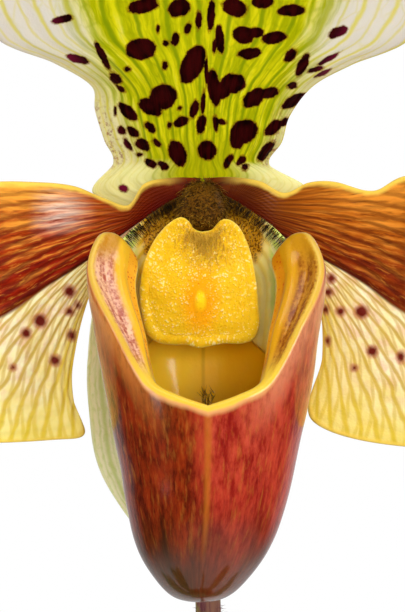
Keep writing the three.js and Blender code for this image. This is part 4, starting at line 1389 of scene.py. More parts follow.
    def fold(self, paint: Paint) -> Ink:
        """Colours of the fold behind the rim: mottled red, a yellow ridge and a dotted strip.

        Args:
            paint: The material's nodes.

        Returns:
            The colour.
        """
        over, right, away, up, lobe = paint.fields("over", "right", "away", "up", "lobe")
        lengthwise = paint.vector(over * 7.0, up * 0.28).noise(0.9, 3.0, 0.6)
        speckle = paint.noise(0.6, 3.0, 0.6)
        mottle = lengthwise * 0.6 + speckle * 0.4
        red = paint.mix(right.step(-2.0, 2.0), "a23a24", "7a3404")
        pale = paint.mix(right.step(-2.0, 2.0), "f0bc9a", "c08020")
        zone = paint.mix(mottle.step(0.4, 0.62) * 0.9, pale, red)
        zone = paint.mix(up.step(6.0, 9.5) * 0.85, zone, "c48a12")
        ridge = paint.mix(right.step(-2.0, 2.0), "e6b028", "cf9414")
        dotted = over.step(0.72, 0.78) * over.step(0.97, 0.9)
        specks = paint.where.cells(0.62).step(0.34, 0.2) * dotted
        border = (paint.field("turned") + speckle * 0.9).step(1.4, 0.7)
        rim = paint.mix(lobe, "e6bd3c", "d8ae40")
        return paint.over(
            paint.mix((over + mottle * 0.12).step(0.5, 0.6), zone, ridge),
            (dotted * 0.7, paint.mix(right.step(-2.0, 2.0), "eb9c24", "cc7406")),
            (specks * 0.8, "b93a10"),
            # The pale inner edge: partly the lobe's own pale margin, partly a painted highlight
            # along the rounded edge.
            (over.step(0.94, 1.0), "fae48a"),
            (border.or_more(1.0 - lobe), rim),
            (away.step(0.58, 0.64), "a87a1c"),
        )

    def inside(self, paint: Paint) -> Ink:
        """Colours of the inner wall: clear yellow, with painted light and shade: amber to the
        right, olive in the depth.

        Args:
            paint: The material's nodes.

        Returns:
            The colour.
        """
        right, up = paint.fields("right", "up")
        # Painted shade: a darker line down the middle crease of the back wall.
        crease_shade = abs(right - 0.1).step(0.45, 0.08)
        return paint.over(
            # Painted light and shade: lighter yellow on the left, darker amber to the right.
            paint.mix((right + paint.noise(5.0) * 4.0).step(-2.0, 7.0), "ffcc2c", "e0a208"),
            # Partly the wall's own olive colour and partly painted shade: darker in the depth of
            # the pouch.
            (up.step(-8.0, -24.0), "a3760c"),
            (crease_shade * 0.3, "9a6c08"),
            (up.step(4.0, 9.0) * 0.6, "c2a02a"),
        )

    def dress(self) -> bpy.types.Material:
        """Joins the outside, the fold and the inside in one glossy finish."""
        paint = Paint("pouch_lacquer")
        outside, fold, inside = self.outside(paint), self.fold(paint), self.inside(paint)
        front = paint.mix(paint.field("over").step(-0.01, 0.01), outside, fold)
        base = paint.mix(paint.field("outer"), inside, front)
        bumps = paint.noise(0.5) + paint.millimetres(1.0, 1.0, 0.2).noise(1.1) * 1.2
        flesh = Flesh(
            glow=0.3, reach=1.5, coat=1.0, coat_roughness=0.12,
            tint=(1.0, 0.5, 0.1), shine=0.02, coat_bend=1.42,
        )
        return paint.finish(
            base, 0.3, paint.bump(bumps, 0.06), flesh,
            Sheen_Weight=0.15, Sheen_Roughness=0.25, Sheen_Tint=(1.0, 0.82, 0.78, 1.0),
        )


@dataclass
class Claw:
    """The pouch's narrow back, which rises to the column: lime at the sides, golden on top."""

    thickness: float = 0.7
    across: int = 180
    along: int = 60
    centre: tuple[float, float] = (-0.3, 2.0)
    trough: tuple[float, float, float] = (14.4, 17.0, 4.7)  # depth, half width, shift forwards
    # Its rim, from low on the left over the top: share, to the right, up
    rim: Stations = (
        (-1, -14.6, -12.0), (-0.88, -15.8, -3.0), (-0.76, -15.9, 4.0), (-0.62, -13.9, 8.6),
        (-0.46, -10.9, 12.2), (-0.3, -7.5, 15.1), (-0.15, -3.7, 17.4), (0, 0.0, 18.5),
        (0.15, 3.8, 17.5), (0.3, 7.5, 15.2), (0.46, 11.1, 12.5), (0.62, 14.0, 9.0),
        (0.76, 15.7, 4.4), (0.88, 15.7, -3.0), (1, 14.6, -12.0),
    )

    def place(self, u: Array, v: Array) -> Array:
        """A point between the middle and the rim, on a round trough.

        The trough's depth falls off from its middle as the root of 1 less the square of the share
        of its half width. Low down it keeps inside the pouch's oval wall, and its two feet come to
        lie on that wall.

        Args:
            u: Along the rim, from -1 on the left to 1 on the right.
            v: From a quarter of the way out at 0 to the rim at 1.

        Returns:
            The place in millimetres.
        """
        x, z = Track(self.rim).columns(u)
        share = 0.25 + 0.75 * v
        x = self.centre[0] + share * (x - self.centre[0])
        z = self.centre[1] + share * (z - self.centre[1])
        foot = ease(np.abs(u), 0.8, 1.0)
        wall = np.array(Pouch.ring)
        sizes = (np.interp(z, wall[:, 1], wall[:, k]) for k in (2, 3, 4, 5))
        half, depth, middle_y, middle_x = sizes
        gap = 1.0 - 0.3 * foot
        x = np.clip(x, middle_x - half + gap + 0.2, middle_x + half - gap - 0.2)
        deep, wide, forward = self.trough
        y = deep * np.sqrt(1.0 - np.minimum(np.abs(x) / wide, 0.97) ** 2) - forward + 3.0 * foot
        inner = middle_y + (depth - gap) * np.sqrt(1.0 - ((x - middle_x) / (half - gap)) ** 2)
        return np.stack([x, np.minimum(y, inner), z], -1)

    def relief(self, u: Array, v: Array, p: Array) -> Array:
        """Low ridges that follow the rim."""
        return 0.1 * np.cos(2 * np.pi * 7 * v) * ease(v, 0.2, 0.4) * ease(v, 1.0, 0.9)

    def build(self) -> None:
        """Builds and dresses the claw."""
        shell = Shell(
            self.place, self.across, self.along, lambda u, v: np.full_like(u, self.thickness),
            relief=self.relief,
        )
        x, z = face_on(shell.middle)
        fields = shell.fields(right=x, up=z, share=shell.v)
        flower_piece("pouch_claw", shell, self.dress(), (), fields)

    def dress(self) -> bpy.types.Material:
        """Lime stripes low at the sides, gold with brown dots above them, dark under the hairs."""
        paint = Paint("claw_flesh")
        right, up, share = paint.fields("right", "up", "share")
        side = abs(right)
        cloud = paint.noise(1.6, 3.0) - 0.5
        stripe = (share * 8.0 + cloud * 0.4).lines(0.3, 0.2)
        lime = paint.mix(stripe, "fffbb0", "cfe044")
        edge = (side + cloud).step(10.0, 11.2) * up.step(-4.0, 1.0)
        gold = paint.mix(paint.noise(0.32, 1.0).step(0.5, 0.6), "d8a020", "7a4a06")
        high = up - side * 0.9 + cloud * 2.0
        inner = (side + cloud).step(10.0, 9.0)
        wall = paint.over(
            paint.mix(right.step(-4.0, 6.0), "f8cc3c", "ffe070"),
            (up.step(-3.0, -11.0), "e0a414"),
            (edge, lime),
            (stripe * 0.25 * up.step(-9.0, -4.0), "fdf3c0"),
            (high.step(-1.2, 0.8) * inner, gold),
            ((up + side * 0.2).step(13.5, 17.0), "4a2c04"),
        )
        flesh = Flesh(glow=0.5, reach=1.5, coat=0.2, tint=(1.0, 0.75, 0.3))
        return paint.finish(wall, 0.45, paint.bump(paint.noise(0.3), 0.05), flesh)


@dataclass
class Staminode:
    """The shield in front of the column: bright yellow, covered in shining warts, with a boss."""

    thickness: float = 1.7
    across: int = 340
    along: int = 104
    warts: int = 1600
    centre: tuple[float, float] = (-0.6, 3.4)
    # The boss: middle to the right and up, half width, half height
    boss: tuple[float, float, float, float] = (-0.3, 0.85, 1.05, 1.8)
    # Reach of the outline from the centre, by half turns from the top to the right
    edge: Stations = (
        (-1, 9.8), (-0.94, 9.5), (-0.88, 10.1), (-0.79, 11.1), (-0.735, 10.9), (-0.66, 10.0),
        (-0.53, 9.1), (-0.43, 8.85), (-0.33, 9.1), (-0.205, 9.9), (-0.13, 10.5), (-0.085, 10.6),
        (-0.062, 9.9), (-0.045, 8.9), (0.0, 8.1), (0.05, 8.2), (0.09, 8.8), (0.105, 9.6),
        (0.125, 10.8), (0.18, 10.9), (0.284, 9.7), (0.42, 8.8), (0.53, 8.95), (0.63, 10.0),
        (0.7, 11.5), (0.75, 12.0), (0.79, 11.5), (0.86, 10.1), (0.93, 9.7), (1, 9.8),
    )

    def place(self, u: Array, v: Array) -> Array:
        """A point of the shield, by half turns from straight up and share of the way out."""
        around = np.where(u > 1, u - 2, np.where(u < -1, u + 2, u))
        reach = Track(self.edge).columns(around)[0] * v
        angle = np.pi * u
        x, z = self.centre
        dish = 1.2 * v * v - 0.9 - 0.35 * hill(v, 0.93, 0.06)
        return np.stack([x + reach * np.sin(angle), dish, z + reach * np.cos(angle)], -1)

    def from_boss(self, points: Array) -> Array:
        """Distance from the boss's middle, in its half sizes."""
        x, z, wide, tall = self.boss
        return np.hypot((points[..., 0] - x) / wide, (points[..., 2] - z) / tall)

    def wart_field(self, points: Array) -> Array:
        """Height of the warts: 1 less the square of the distance over the radius, to the power 1.5.

        Args:
            points: Places on the shield.

        Returns:
            The highest wart's height at each place, from 0 to 1.
        """
        chance = np.random.default_rng(21)
        angle = chance.uniform(0, 2 * np.pi, self.warts)
        reach = np.sqrt(chance.uniform(0, 1, self.warts))
        middle = self.place(angle / np.pi - 1.0, 0.97 * reach)[:, [0, 2]].astype(np.float32)
        radius = chance.uniform(0.13, 0.25, self.warts)
        flat = points.reshape(-1, 3)[:, [0, 2]].astype(np.float32)
        parts = []
        for chunk in np.array_split(flat, 24):
            gap = np.linalg.norm(chunk[:, None] - middle[None], axis=-1)
            parts.append((np.clip(1.0 - (gap / radius) ** 2, 0.0, 1.0) ** 1.5).max(1))
        return np.concatenate(parts).reshape(points.shape[:-1])

    def relief(self, u: Array, v: Array, p: Array) -> Array:
        """Warts, the boss, a low swelling around it and a soft unevenness."""
        from_boss = self.from_boss(p)
        boss = 0.45 * hill(from_boss, 0.0, 0.75) + 0.5 * hill(from_boss, 0.0, 3.2)
        warts = 0.1 * self.wart_field(p) * ease(v, 1.0, 0.95) * ease(from_boss, 1.0, 2.2)
        return (warts + boss + 0.2 * grain(p, 3.5, 9)) * ease(v, 1.0, 0.97)

    def build(self) -> None:
        """Builds and dresses the staminode."""
        shell = Shell(
            self.place, self.across, self.along, lambda u, v: self.thickness * (1.0 - 0.35 * v),
            ring=True, pole=True, relief=self.relief, margin=(0.0, 0.045),
        )
        x, z = shell.middle[..., 0], shell.middle[..., 2]
        fields = shell.fields(
            wart=self.wart_field(shell.middle),
            boss=self.from_boss(shell.middle),
            margin=1.0 - shell.v,
            notch=hill(x, 0.1, 2.6) * ease(z, 5.0, 12.0),
            crown=hill(x, 0.1, 5.5) * ease(z, 3.0, 11.0),
        )
        flower_piece("staminode_shield", shell, self.dress(), ["staminode"], fields)

    def dress(self) -> bpy.types.Material:
        """Golden yellow with painted glints on the warts and over the shield, orange around the
        boss, brownish at the top.
        """
        paint = Paint("staminode_enamel")
        wart, boss, notch, crown = paint.fields("wart", "boss", "notch", "crown")
        grains = paint.noise(0.3, 3.0).step(0.4, 0.62)
        top = notch * paint.noise(1.0, 3.0).step(0.2, 0.6)
        fine = paint.noise(0.22, 2.0).step(0.56, 0.66)
        # Painted glints: pale dots scattered over the shield, in place of small reflections.
        painted_glints = paint.where.cells(0.42).step(0.27, 0.12) * paint.noise(2.2).step(0.4, 0.62)
        clear = boss.step(1.2, 2.4) * notch.step(0.6, 0.2)
        # Painted highlights: pale tips on the warts, in place of their glints.
        tips = wart.step(0.4, 0.85) * paint.noise(1.6).step(0.4, 0.58) * clear
        ground = paint.over(
            paint.mix(paint.noise(1.6, 4.0), "e6b00c", "f4c826"),
            (boss.step(3.8, 1.2) * 0.75, "f79e02"),
            (boss.step(1.1, 0.4), "ffd21a"),
            (crown * grains * 0.7, "a87414"),
            (top * 0.5, "b87a14"),
            (fine * 0.35, "c08a0a"),
            (painted_glints * 0.45, "fff0a0"),
            (tips * 0.55, "fff2b4"),
            (paint.field("margin").step(0.06, 0.015), "f3cf52"),
        )
        flesh = Flesh(glow=0.4, reach=0.9, coat=0.5, coat_roughness=0.1, tint=(1.0, 0.6, 0.1))
        return paint.finish(ground, 0.3, paint.bump(paint.noise(0.25), 0.04), flesh)


@dataclass
class Column:
    """The stout middle of the flower, with its stigma, its two anthers and all the dark hairs."""

    path: Stations = ((0, 13.9, 17.2), (0, 10.5, 17.2), (0, 6.2, 15.2), (0, 2.8, 11.7))
    radius: Stations = ((0, 1.8), (0.25, 2.6), (0.6, 3.5), (0.85, 3.0), (1, 1.7))
    rings: int = 60
    sides: int = 48
    body_hairs: int = 2600
    notch_hairs: int = 1500
    claw_hairs: int = 900
    lash_hairs: int = 460
    tuft_hairs: int = 110
    stigma: Stations = ((0, 9.0, 10.9), (0, 8.2, 8.4), (0, 6.8, 5.4))
    stigma_radius: Stations = ((0, 1.0), (0.45, 1.3), (0.8, 2.8), (0.95, 2.4), (1, 1.2))
    anther: Stations = ((4.7, 8.6, 13.0), (5.1, 7.4, 11.6), (5.0, 6.0, 10.2))

    def body(self) -> Tube:
        """The column itself: a rod along its path, a little uneven."""
        share = np.linspace(0.0, 1.0, self.rings)
        wave = np.sin(3 * turns(self.sides))[None] * np.sin(9 * share)[:, None]
        radius = Track(self.radius)(share) * (1.0 + 0.03 * wave)
        return Tube(through(self.path, self.rings), radius, self.sides)

    def build(self) -> None:
        """Builds and dresses the column, the stigma, the anthers and the hairs."""
        body = self.body()
        flower_piece("column_body", body, self.skin(), ["column"])
        disc = Tube(through(self.stigma, 30), Track(self.stigma_radius)(np.linspace(0, 1, 30)), 28)
        pale = self.plain("stigma_flesh", "b4b04a", "9a9a34")
        flower_piece("stigma_disc", disc, pale, ["stigma"])
        wax = self.plain("anther_wax", "7a5210", "a87c22")
        radius = 0.25 + 0.85 * np.sin(np.pi * np.linspace(0.04, 0.96, 20))
        for side in Side:
            lump = Tube(through(np.array(self.anther) * [side.value, 1, 1], 20), radius, 20)
            name = f"anther_{side.name.lower()}"
            flower_piece(f"{name}_lump", lump, wax, [name])
        self.fuzz(body)
        self.lashes()
        self.floor_hairs()

    def fuzz(self, body: Tube) -> None:
        """Short golden-brown hairs on the column, the claw's top and the top of the shield.

        Args:
            body: The column's rod, whose surface carries some of them.
        """
        chance = np.random.default_rng(33)
        front = np.flatnonzero(body.normal[:, 1] < 0.6)
        picked = chance.choice(front, self.body_hairs)
        beside = chance.normal(size=(self.body_hairs, 3))
        roots = [body.points[picked] + 0.3 * beside * [1, 0.3, 1]]
        heading = [body.normal[picked] + [0, -0.5, -0.6] + 0.4 * chance.normal(size=beside.shape)]
        roots.append(self.on_shield(chance))
        heading.append([0.0, -0.5, -1.0] + 0.35 * chance.normal(size=roots[1].shape))
        count = self.claw_hairs
        along, out = chance.uniform(-0.5, 0.5, count), chance.uniform(0.45, 1.0, count) ** 0.8
        place = Claw().place(along, out)
        kept = chance.uniform(0, 1, count) < ease(place[:, 2], 8.0, 14.0)
        roots.append(place[kept] + [0, -0.3, 0])
        heading.append([0.0, -0.7, -0.8] + 0.4 * chance.normal(size=roots[2].shape))
        heading[2][:, 0] -= 0.05 * roots[2][:, 0]
        shield = slice(self.body_hairs, self.body_hairs + len(roots[1]))
        roots, heading = np.concatenate(roots), np.concatenate(heading)
        length = chance.uniform(0.6, 1.4, len(roots))
        bend = np.tile([0.0, 0.0, -0.3], (len(roots), 1))
        tone = chance.uniform(0, 1, len(roots)) + 0.4 * ease(roots[:, 2], 15.5, 12.5)
        tone[shield] = 0.9 + 0.5 * tone[shield]
        paint = Paint("column_hair")
        shown = paint.field("tone")
        base = paint.mix(shown.step(0.25, 1.0), "241202", "a87418")
        base = paint.mix(shown.step(0.9, 1.4), base, "e8b83c")
        finish = paint.finish(base, 0.5, Specular_IOR_Level=0.2)
        hairs = spikes(roots, heading, bend, length, 0.05)
        fields = {"tone": np.repeat(tone, HAIR_CORNERS)}
        flower_piece("column_fuzz", hairs, finish, (), fields)

    def on_shield(self, chance: np.random.Generator) -> Array:
        """Roots for the hairs in the shield's notch, thickest at its edge.

        Args:
            chance: Where the random numbers come from.

        Returns:
            Places on the shield's face.
        """
        shield, count = Staminode(), self.notch_hairs
        x, z = chance.normal(0.1, 1.5, count), chance.uniform(4.5, 12.4, count)
        right, up = x - shield.centre[0], z - shield.centre[1]
        turn = np.arctan2(right, up) / np.pi
        share = np.hypot(right, up) / Track(shield.edge).columns(turn)[0]
        kept = (share < 0.99) & (chance.uniform(0, 1, count) < ease(z, 4.5, 12.0))
        return shield.place(turn[kept], share[kept]) + [0, -0.7, 0]

    def lashes(self) -> None:
        """Long dark hairs that hang from the petals' feet along the claw's rim."""
        chance = np.random.default_rng(35)
        count = self.lash_hairs
        spread = chance.uniform(-1, 1, count)
        u = np.sign(spread) * np.abs(spread) ** 0.9 * 0.6
        roots = Claw().place(u, 1.0 + chance.normal(0.0, 0.018, count) - 0.02) + [0, -0.3, 0.1]
        down = -1.15 + 0.35 * np.abs(u)
        inwards = np.stack([-0.09 * roots[:, 0], np.full(count, -0.6), down], -1)
        heading = inwards + 0.28 * chance.normal(size=inwards.shape)
        length = chance.uniform(1.2, 2.3, count) * (1.0 - 0.2 * np.abs(u))
        aside = -0.3 * np.sign(roots[:, 0]) * np.abs(u)
        bend = np.stack([aside, np.zeros(count), np.full(count, -0.2)], -1)
        dark = self.plain("dark_hair", "150b02", "2e1c06", 0.5)
        flower_piece("petal_lashes", spikes(roots, heading, bend, length, 0.055), dark)

    def floor_hairs(self) -> None:
        """A tuft of dark hairs low on the pouch's inner back wall."""
        chance = np.random.default_rng(37)
        count = self.tuft_hairs
        u = 1.0 + chance.normal(0.0, 0.014, count)
        v = chance.uniform(0.41, 0.49, count)
        roots = Pouch().place(np.where(u > 1, u - 2, u), v) + [0, -0.7, 0]
        aside, up = chance.normal(0, 0.35, count), chance.uniform(0.2, 0.9, count)
        heading = np.stack([aside, np.full(count, -0.7), up], -1)
        bend = np.tile([0.0, 0.0, 0.3], (count, 1))
        hairs = spikes(roots, heading, bend, chance.uniform(0.9, 1.7, count), 0.06)
        brown = self.plain("pouch_hair", "2a1a04", "4a3208", 0.45)
        flower_piece("pouch_hairs", hairs, brown)

    def skin(self) -> bpy.types.Material:
        """Dark gold, dotted with brown."""
        paint = Paint("column_flesh")
        ground = paint.mix(paint.noise(1.5, 3.0), "4e2e06", "7a4e0e")
        ground = paint.mix(paint.noise(0.35).step(0.48, 0.6), ground, "2e1a04")
        return paint.finish(ground, 0.55, paint.bump(paint.noise(0.3), 0.08), Flesh(coat=0.0))

    def plain(self, name: str, dark: str, light: str, roughness: float = 0.4) -> bpy.types.Material:
        """A finish that wanders between two close tones.

        Args:
            name: Its name.
            dark: One tone.
            light: The other.
            roughness: Its roughness.

        Returns:
            The material.
        """
        paint = Paint(name)
        base = paint.mix(paint.noise(0.9, 3.0), dark, light)
        bumps = paint.bump(paint.noise(0.3), 0.03)
        return paint.finish(base, roughness, bumps, Specular_IOR_Level=0.2)


@dataclass
class Stem:
    """The hairy flower stem with its bract and the ribbed, bent ovary that carries the flower."""

    scape: Stations = (
        (2, 18, CROWN_FOOT + 22), (2.6, 18.4, 150), (3.2, 19, 210), (1.2, 20.5, 270), (0, 21, 314.5)
    )
    scape_radii: tuple[float, float] = (2.7, 2.1)
    ovary: Stations = (
        (0, 21, 313.5), (0, 20, 327), (0, 12.5, 338), (0, 0, 345.5), (0, -13.6, 347)
    )
    ovary_radius: Stations = ((0, 2.1), (0.3, 2.7), (0.7, 3.2), (0.92, 2.9), (1, 2.4))
    ribs: int = 6
    scape_hairs: int = 2400
    ovary_hairs: int = 1300
    bract_foot: float = 306.0
    bract_height: float = 21.0
    bract_widths: Stations = ((0, 2.9, 0), (0.4, 4.0, 0.6), (0.8, 3.4, 2.2), (1, 1.2, 3.2))

    def build(self) -> None:
        """Builds and dresses the stem, the bract, the ovary and their hairs."""
        line = through(self.scape, 160)
        share = np.linspace(0.0, 1.0, len(line))
        low, high = self.scape_radii
        scape = Tube(line, (low + (high - low) * share) * (1.0 + 0.03 * grain(line, 6.0, 41)), 24)
        make_piece("scape_skin", scape, self.stem_skin(), ["scape"])
        line = through(self.ovary, 90)
        share = np.linspace(0.0, 1.0, len(line))
        rib = np.cos(self.ribs * turns(48))
        ribbed = 1.0 + 0.11 * rib * ease(share, 0.02, 0.2)[:, None]
        ovary = Tube(line, Track(self.ovary_radius)(share) * ribbed, 48)
        ridge = {"ridge": np.concatenate([np.tile(rib, len(line)), [0.0, 0.0]])}
        make_piece("ovary_skin", ovary, self.ovary_skin(), ["ovary"], ridge)
        self.hairs("scape_hairs", scape, self.scape_hairs, "stem")
        self.hairs("ovary_hairs", ovary, self.ovary_hairs, "ovary")
        self.bract()

    def hairs(self, name: str, tube: Tube, count: int, slot: str) -> None:
        """Short purple-brown hairs that stand out of a rod.

        Args:
            name: The piece's name.
            tube: The rod.
            count: How many.
            slot: Not used.
        """
        chance = np.random.default_rng(51 + count)
        picked = chance.integers(0, len(tube.points) - 2, count)
        out = tube.normal[picked]
        roots = tube.points[picked] + 0.2 * chance.normal(size=(count, 3)) - 0.25 * out
        heading = out + 0.3 * chance.normal(size=(count, 3))
        bend = np.tile([0.0, 0.0, 0.2], (count, 1))
        hairs = spikes(roots, heading, bend, chance.uniform(0.7, 1.25, count), 0.05)
        paint = Paint(f"{name}_tone")
        base = paint.mix(paint.noise(2.0), "4a2433", "7a4a4c")
        make_piece(name, hairs, paint.finish(base, 0.5))

    def bract(self) -> None:
        """The leaflike sheath at the ovary's foot, folded round the stem and pointed."""
        widths = Track(self.bract_widths)

        def place(u: Array, v: Array) -> Array:
            """A point at the angle 118 u (1 - 0.55 v squared) degrees from the back."""
            radius, lean = widths.columns(v)
            angle = np.pi / 2 + u * np.radians(118 * (1 - 0.55 * v * v))
            x, y = radius * np.cos(angle), 21 + lean + radius * np.sin(angle)
            return np.stack([x, y, self.bract_foot + self.bract_height * v], -1)

        shell = Shell(place, 40, 50, lambda u, v: np.full_like(u, 0.8), margin=(0.06, 0.04))
        paint = Paint("bract_green")
        vein = (paint.field("vein") + paint.noise(3.0) * 0.3).lines(0.25, 0.2)
        base = paint.mix(vein, "a3b56a", "7d9444")
        base = paint.mix(paint.noise(0.5).step(0.62, 0.7), base, "6a3a44")
        finish = paint.finish(base, 0.5, paint.bump(paint.noise(0.4), 0.06), Flesh())
        fields = shell.fields(vein=8 * shell.u)
        make_piece("bract_sheath", shell, finish, ["bract"], fields)

    def stem_skin(self) -> bpy.types.Material:
        """Purple-brown, flecked with green, with fine lines along the stem."""
        paint = Paint("stem_purple")
        streak = paint.millimetres(1.0, 1.0, 0.08).noise(0.7, 3.0)
        base = paint.mix(streak.step(0.35, 0.65), "5a3038", "7a5546")
        base = paint.mix(paint.noise(2.2, 3.0).step(0.5, 0.65) * 0.6, base, "7c7a40")
        return paint.finish(base, 0.6, paint.bump(streak, 0.1), Flesh(coat=0.0))

    def ovary_skin(self) -> bpy.types.Material:
        """Green grooves between ribs flushed with purple."""
        paint = Paint("ovary_green")
        flush = paint.field("ridge") + paint.noise(1.8, 3.0) * 1.6
        base = paint.mix(flush.step(0.2, 1.7), "8c9a48", "6a3f40")
        return paint.finish(base, 0.5, paint.bump(paint.noise(0.4), 0.08), Flesh())


@dataclass(frozen=True)
class Growth:
    """One growth: the middle of its crown, its fan's direction in degrees and its crown's size."""

    name: str
    x: float
    y: float
    fan: float
    width: float
    thick: float
    height: float


GROWTHS = (
    Growth("crown_flowering", 2, 18, 8, 13, 9, 22),
    Growth("crown_left", -25, -9, 208, 11, 8, 20),
    Growth("crown_right", 19, -19, 322, 10, 7, 16),
)
CROWN_SWELL = Track(((0, 0.72), (0.3, 1), (0.7, 0.86), (1, 0.52)))


@dataclass(frozen=True)
class Leaf:
    """One leaf: growth, side of the fan, height up the crown, length, half width, slopes, turn."""

    growth: int
    side: int
    foot: float
    length: float
    half: float
    rise: float
    fall: float
    turn: float


@dataclass
class Foliage:
    """The crowns and the mottled leaves that stand in fans on them."""

    thickness: float = 2.0
    sunk: float = 3.0
    across: int = 26
    along: int = 120
    leaves: Sequence[Leaf] = (
        Leaf(0, 1, 8.7, 165, 19.5, 30, -29, 6),
        Leaf(0, -1, 8.2, 180, 20, 25, -26, -27),
        Leaf(0, 1, 13.1, 140, 20, 40, -24, 30),
        Leaf(0, -1, 12.5, 154, 19.5, 42, 12, -33),
        Leaf(0, 1, 19.1, 93, 15.5, 52, 43, 43),
        Leaf(1, 1, 8.5, 139, 18.5, 44, -22, 28),
        Leaf(1, 1, 13.5, 134, 18, 43, -13, -19),
        Leaf(1, -1, 9.9, 77, 14.5, 74, 49, 135),
        Leaf(1, 1, 17.9, 77, 13.5, 50, 35, 23),
        Leaf(2, 1, 6.8, 126, 17.5, 47, -13, 2),
        Leaf(2, 1, 11.1, 108, 16.5, 45, 18, 21),
        Leaf(2, -1, 7.9, 69, 13, 72, 48, -89),
        Leaf(2, 1, 14.6, 70, 11.5, 46, 40, -13),
    )
    width: Track = Track(
        ((0, 0.16), (0.12, 0.3), (0.32, 0.82), (0.55, 1), (0.78, 0.86), (0.92, 0.5), (1, 0.07))
    )
    fold: Track = Track(((0, 20), (0.1, 44), (0.3, 32), (0.5, 17), (1, 8)))

    def spine(self, leaf: Leaf) -> Track:
        """The leaf's middle line, walked in small steps whose slope and heading change along it.

        The slope goes from rise to fall as the 1.15th power of the share walked, and the heading
        turns evenly.

        Args:
            leaf: The leaf.

        Returns:
            The line, by share of its length.
        """
        growth = GROWTHS[leaf.growth]
        steps = 40
        start = math.radians(growth.fan + (180 if leaf.side < 0 else 0))
        crown_half = growth.width / 2 * CROWN_SWELL(np.array(leaf.foot / growth.height))[0]
        reach = crown_half + 0.3 + self.thickness / 2 * math.sin(math.radians(leaf.rise))
        share = (np.arange(steps) + 0.5) / steps
        climb = np.radians(leaf.rise + (leaf.fall - leaf.rise) * share**1.15)
        heading = start + math.radians(leaf.turn) * share
        level = np.cos(climb)
        walk = np.stack([level * np.cos(heading), level * np.sin(heading), np.sin(climb)], -1)
        x, y = growth.x + reach * math.cos(start), growth.y + reach * math.sin(start)
        places = np.concatenate([np.zeros((1, 3)), np.cumsum(walk, 0)]) * leaf.length / steps
        places += [x, y, CROWN_FOOT + leaf.foot]
        return Track(np.column_stack([np.linspace(0, 1, steps + 1), places]))

    def place(self, leaf: Leaf) -> Place:
        """The leaf's middle surface: two halves folded up from the spine, with a soft wave.

        Args:
            leaf: The leaf.

        Returns:
            The function from u and v to a place.
        """
        spine = self.spine(leaf)
        sunk = self.sunk / leaf.length
        step = 0.01
        start, next_to_it = spine(np.array([0.0, step]))

        def at(u: Array, v: Array) -> Array:
            """Spine + level u half cos(fold) + above keel(u) half sin(fold).

            The foot goes on straight into the crown.
            """
            t = v * (1 + sunk) - sunk
            near = np.clip(t, 0.0, 1.0)
            middle = spine(near) + (next_to_it - start) * (np.minimum(t, 0) / step)[..., None]
            ahead, behind = np.minimum(near + step, 1.0), np.maximum(near - step, 0.0)
            tangent = unit(spine(ahead) - spine(behind))
            level = unit(np.cross(np.array([0.0, 0.0, 1.0]), tangent))
            above = np.cross(tangent, level)
            half = leaf.half * self.width.columns(near)[0]
            fold = np.radians(self.fold.columns(near)[0])
            keel = np.sqrt(u * u + 0.02) - math.sqrt(0.02)
            wave = 0.035 * np.sin(9 * near + 2 * leaf.turn) * u * np.abs(u) * ease(near, 0.2, 0.5)
            sideways = level * (u * half * np.cos(fold))[..., None]
            return middle + sideways + above * (half * (keel * np.sin(fold) + wave))[..., None]

        return at

    def build(self) -> None:
        """Builds and dresses every crown and leaf."""
        finish = self.dress()
        for number, leaf in enumerate(self.leaves, 1):
            shell = Shell(
                self.place(leaf), self.across, self.along,
                lambda u, v: self.thickness * (1 - 0.35 * v) * (1 - 0.55 * u * u),
                relief=lambda u, v, p: (
                    0.3 * hill(u, 0.0, 0.08) * ease(v, 0.98, 0.9) + 0.25 * grain(p, 11.0, number)
                ),
                margin=(0.08, 0.02),
            )
            fields = shell.fields(
                wide=shell.u * leaf.half * self.width.columns(shell.v)[0],
                long=shell.v * leaf.length + 300.0 * number,
                share=shell.v,
                across=shell.u,
                top=(0.0, 1.0),
            )
            name = f"leaf_{number:02d}"
            make_piece(f"{name}_blade", shell, finish, [name], fields)
        for growth in GROWTHS:
            self.crown(growth)

    def crown(self, growth: Growth) -> None:
        """An oval stub wrapped in old sheaths, each a step in its radius.

        Args:
            growth: The growth it belongs to.
        """
        rings, sides = 70, 48
        share = np.linspace(0.0, 1.0, rings)
        z = CROWN_FOOT + growth.height * share
        line = np.stack([np.full(rings, growth.x), np.full(rings, growth.y), z], -1)
        steps = (share[:, None] * 4 + 0.3 * np.sin(turns(sides) + 2 * growth.fan)[None]) % 1.0
        radius = growth.width / 2 * CROWN_SWELL(share)[:, :1] * (0.96 + 0.07 * (1 - steps) ** 2)
        radius = radius * ease(share, 1.02, 0.93)[:, None] ** 0.5
        turn = math.radians(growth.fan)
        across = (math.cos(turn), math.sin(turn), 0.0)
        stub = Tube(line, radius, sides, across, growth.thick / growth.width)
        paint = Paint(f"{growth.name}_sheath")
        streak = paint.millimetres(1.0, 1.0, 0.1).noise(0.8, 3.0)
        low = paint.field("height") + paint.noise(3.0) * 0.35
        base = paint.mix(low.step(0.55, 0.2), paint.mix(streak, "8ea65a", "b6c184"), "7a5a3a")
        finish = paint.finish(base, 0.55, paint.bump(streak, 0.12), Flesh(coat=0.1))
        fields = {"height": np.concatenate([np.repeat(share, sides), [0.0, 1.0]])}
        make_piece(f"{growth.name}_stub", stub, finish, [growth.name], fields)

